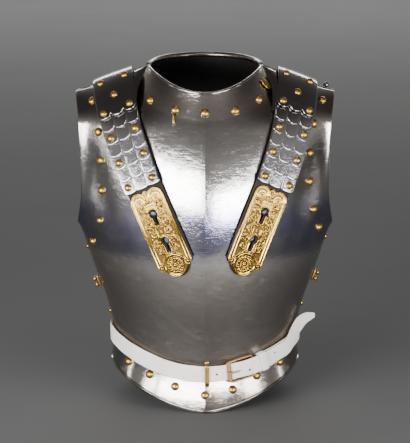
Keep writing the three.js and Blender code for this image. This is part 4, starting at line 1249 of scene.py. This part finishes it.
def side_catch(name, side):
    """A small plate with rounded corners and two balls on it."""
    build = Build()
    at = ("front", side * CATCH["across"], up_at_seam(CATCH["heights"][name]))
    point, normal = skin(*at), normal_of(skin, *at)
    plan = rounded_frame(*CATCH["half"], 1.6, 6)
    thick, ball, count = CATCH["thick"], CATCH["ball"], len(plan)
    levels = [(0.0, 1.0), (thick - 0.7, 1.0), (thick - 0.2, 0.96), (thick, 0.88)]
    verts = [(x * share, y * share, height) for height, share in levels for x, y in plan]
    faces = []
    for ring in range(len(levels) - 1):
        faces += ring_faces(ring * count, (ring + 1) * count, count)
    faces.append(tuple(range(count))[::-1])
    faces.append(tuple(range((len(levels) - 1) * count, len(levels) * count)))
    build.add(seat(np.array(verts), point, normal, CATCH["rise"]), faces)
    profile = [(0, 0), (1.9, 0), (1.7, 1.0)]
    turns = np.radians(np.linspace(-50, 82, 10))
    profile += [(ball * math.cos(t), 3.2 + ball * 0.9 * math.sin(t)) for t in turns]
    verts, faces = lathe(profile + [(0, 3.2 + ball * 0.9)], 20)
    for x in (-CATCH["apart"], CATCH["apart"]):
        build.add(seat(verts + np.array([x, 0, thick - 0.3]), point, normal, CATCH["rise"]), faces)
    build.make(f"side_catch_fine_{name}", [RIVET_BRASS], [f"side_catch_{name}"])


badge()
side_catch("left", -1)
side_catch("right", 1)


# ---------------------------------------------------------------- floor, light and camera
def plain_material(name, colour, rough):
    """A dull material of one colour, very slightly clouded."""
    n = Nodes(name)
    n.set(Roughness=rough, Specular_IOR_Level=0.3)
    n.set(Base_Color=n.blend(n.ramp(n.noise(3, 3), 0.3, 0.7), colour, shade(colour, 0.94, 0.94, 0.94)))
    return n.material


def flat_piece(name, corners, material):
    """A four-cornered sheet that belongs to the stage, in metres."""
    mesh = bpy.data.meshes.new(name)
    mesh.from_pydata(corners, [], [(0, 1, 2, 3)])
    mesh.materials.append(material)
    obj = bpy.data.objects.new(name, mesh)
    bpy.context.scene.collection.objects.link(obj)
    return obj


FLOOR = plain_material("pale_floor", (0.13, 0.13, 0.13), 0.8)
BLACK = plain_material("black_card", (0.02, 0.02, 0.05), 0.9)
PALE = plain_material("pale_card", (0.8, 0.78, 0.75), 0.9)
# the two cards lie on the floor in front and are seen only as reflections in the polished steel
CARD_UP = 0.004
BLACK_CARD = [(-0.8, -2.6, CARD_UP), (0.55, -2.0, CARD_UP), (0.8, -0.85, CARD_UP), (-0.8, -0.78, CARD_UP)]
PALE_CARD = [(-0.34, -0.62, CARD_UP), (0.34, -0.62, CARD_UP), (0.42, -0.44, CARD_UP), (-0.42, -0.44, CARD_UP)]
flat_piece("floor", [(-9, -9, 0), (9, -9, 0), (9, 9, 0), (-9, 9, 0)], FLOOR)
for piece in (flat_piece("black_card", BLACK_CARD, BLACK), flat_piece("pale_card", PALE_CARD, PALE)):
    piece.visible_camera = False
    piece.visible_shadow = False
    piece.visible_diffuse = False

world = bpy.data.worlds.new("studio")
bpy.context.scene.world = world
world.use_nodes = True
tree = world.node_tree
background = next(n for n in tree.nodes if n.type == "BACKGROUND")
coords = tree.nodes.new("ShaderNodeTexCoord")
split = tree.nodes.new("ShaderNodeSeparateXYZ")
tree.links.new(coords.outputs["Generated"], split.inputs[0])
ramp = tree.nodes.new("ShaderNodeMapRange")
ramp.interpolation_type = "SMOOTHSTEP"
for key, value in (("From Min", 0.1), ("From Max", 0.85), ("To Min", 0.34), ("To Max", 0.06)):
    ramp.inputs[key].default_value = value
tree.links.new(split.outputs["Z"], ramp.inputs["Value"])
tree.links.new(ramp.outputs["Result"], background.inputs["Strength"])
background.inputs["Color"].default_value = (1.0, 0.965, 0.93, 1)


def softbox(name, at, aim, wide, high, watts):
    """A rectangular light at one place, turned to another; sizes in metres."""
    light = bpy.data.lights.new(name, "AREA")
    light.shape = "RECTANGLE"
    light.size, light.size_y, light.energy = wide, high, watts
    obj = bpy.data.objects.new(name, light)
    bpy.context.scene.collection.objects.link(obj)
    obj.location = at
    back = unit(np.array(at, float) - np.array(aim, float))
    axes = facing(back, np.cross([0, 0, 1], back))
    obj.rotation_mode = "QUATERNION"
    obj.rotation_quaternion = Matrix(axes.T.tolist()).to_quaternion()


def ring_box(name, azimuth, distance, low, high, wide, watts):
    """An upright box on the floor round the cuirass: azimuth in degrees from the front, sizes in metres."""
    turn = math.radians(azimuth)
    at = (distance * math.sin(turn), -distance * math.cos(turn), (low + high) / 2)
    softbox(name, at, (0, 0, (low + high) / 2), wide, high - low, watts)


for box in (
    ("left_box", -33, 2.0, 0.17, 0.69, 1.2, 62),
    ("left_outer_box", -59, 2.0, 0.22, 0.6, 0.42, 9),
    ("right_box", 30, 2.0, 0.02, 0.41, 0.72, 31),
    ("right_outer_box", 51, 2.0, 0.14, 0.6, 0.46, 14),
    ("left_strip", -88, 1.4, 0.02, 0.26, 0.1, 0.7),
    ("right_strip", 88, 1.4, 0.02, 0.26, 0.1, 0.7),
):
    ring_box(*box)
softbox("far_box", (0, 5.4, 2.4), (0, 5.0, 0), 5.0, 1.2, 150)
softbox("top_box", (0.0, -0.7, 1.9), (0, -0.6, 0), 0.9, 0.5, 2.5)

# perspective view 3.2 m from the middle of the object, 12 degrees above level
VIEW_TARGET = np.array([0.0, 0.0135, 0.227])
VIEW_DISTANCE, VIEW_ELEVATION = 3.2, math.radians(12)
FOCAL_PX, PICTURE_HIGH, SHIFT_PX, SENSOR = 2286.4, 443, 10.5, 36
camera = bpy.data.cameras.new("camera")
camera.sensor_width = SENSOR
camera.lens = FOCAL_PX / PICTURE_HIGH * SENSOR
camera.shift_y = SHIFT_PX / PICTURE_HIGH
camera_object = bpy.data.objects.new("camera", camera)
bpy.context.scene.collection.objects.link(camera_object)
back = np.array([0, -math.cos(VIEW_ELEVATION), math.sin(VIEW_ELEVATION)])
camera_object.location = VIEW_TARGET + back * VIEW_DISTANCE
camera_object.rotation_euler = (math.pi / 2 - VIEW_ELEVATION, 0, 0)
bpy.context.scene.camera = camera_object
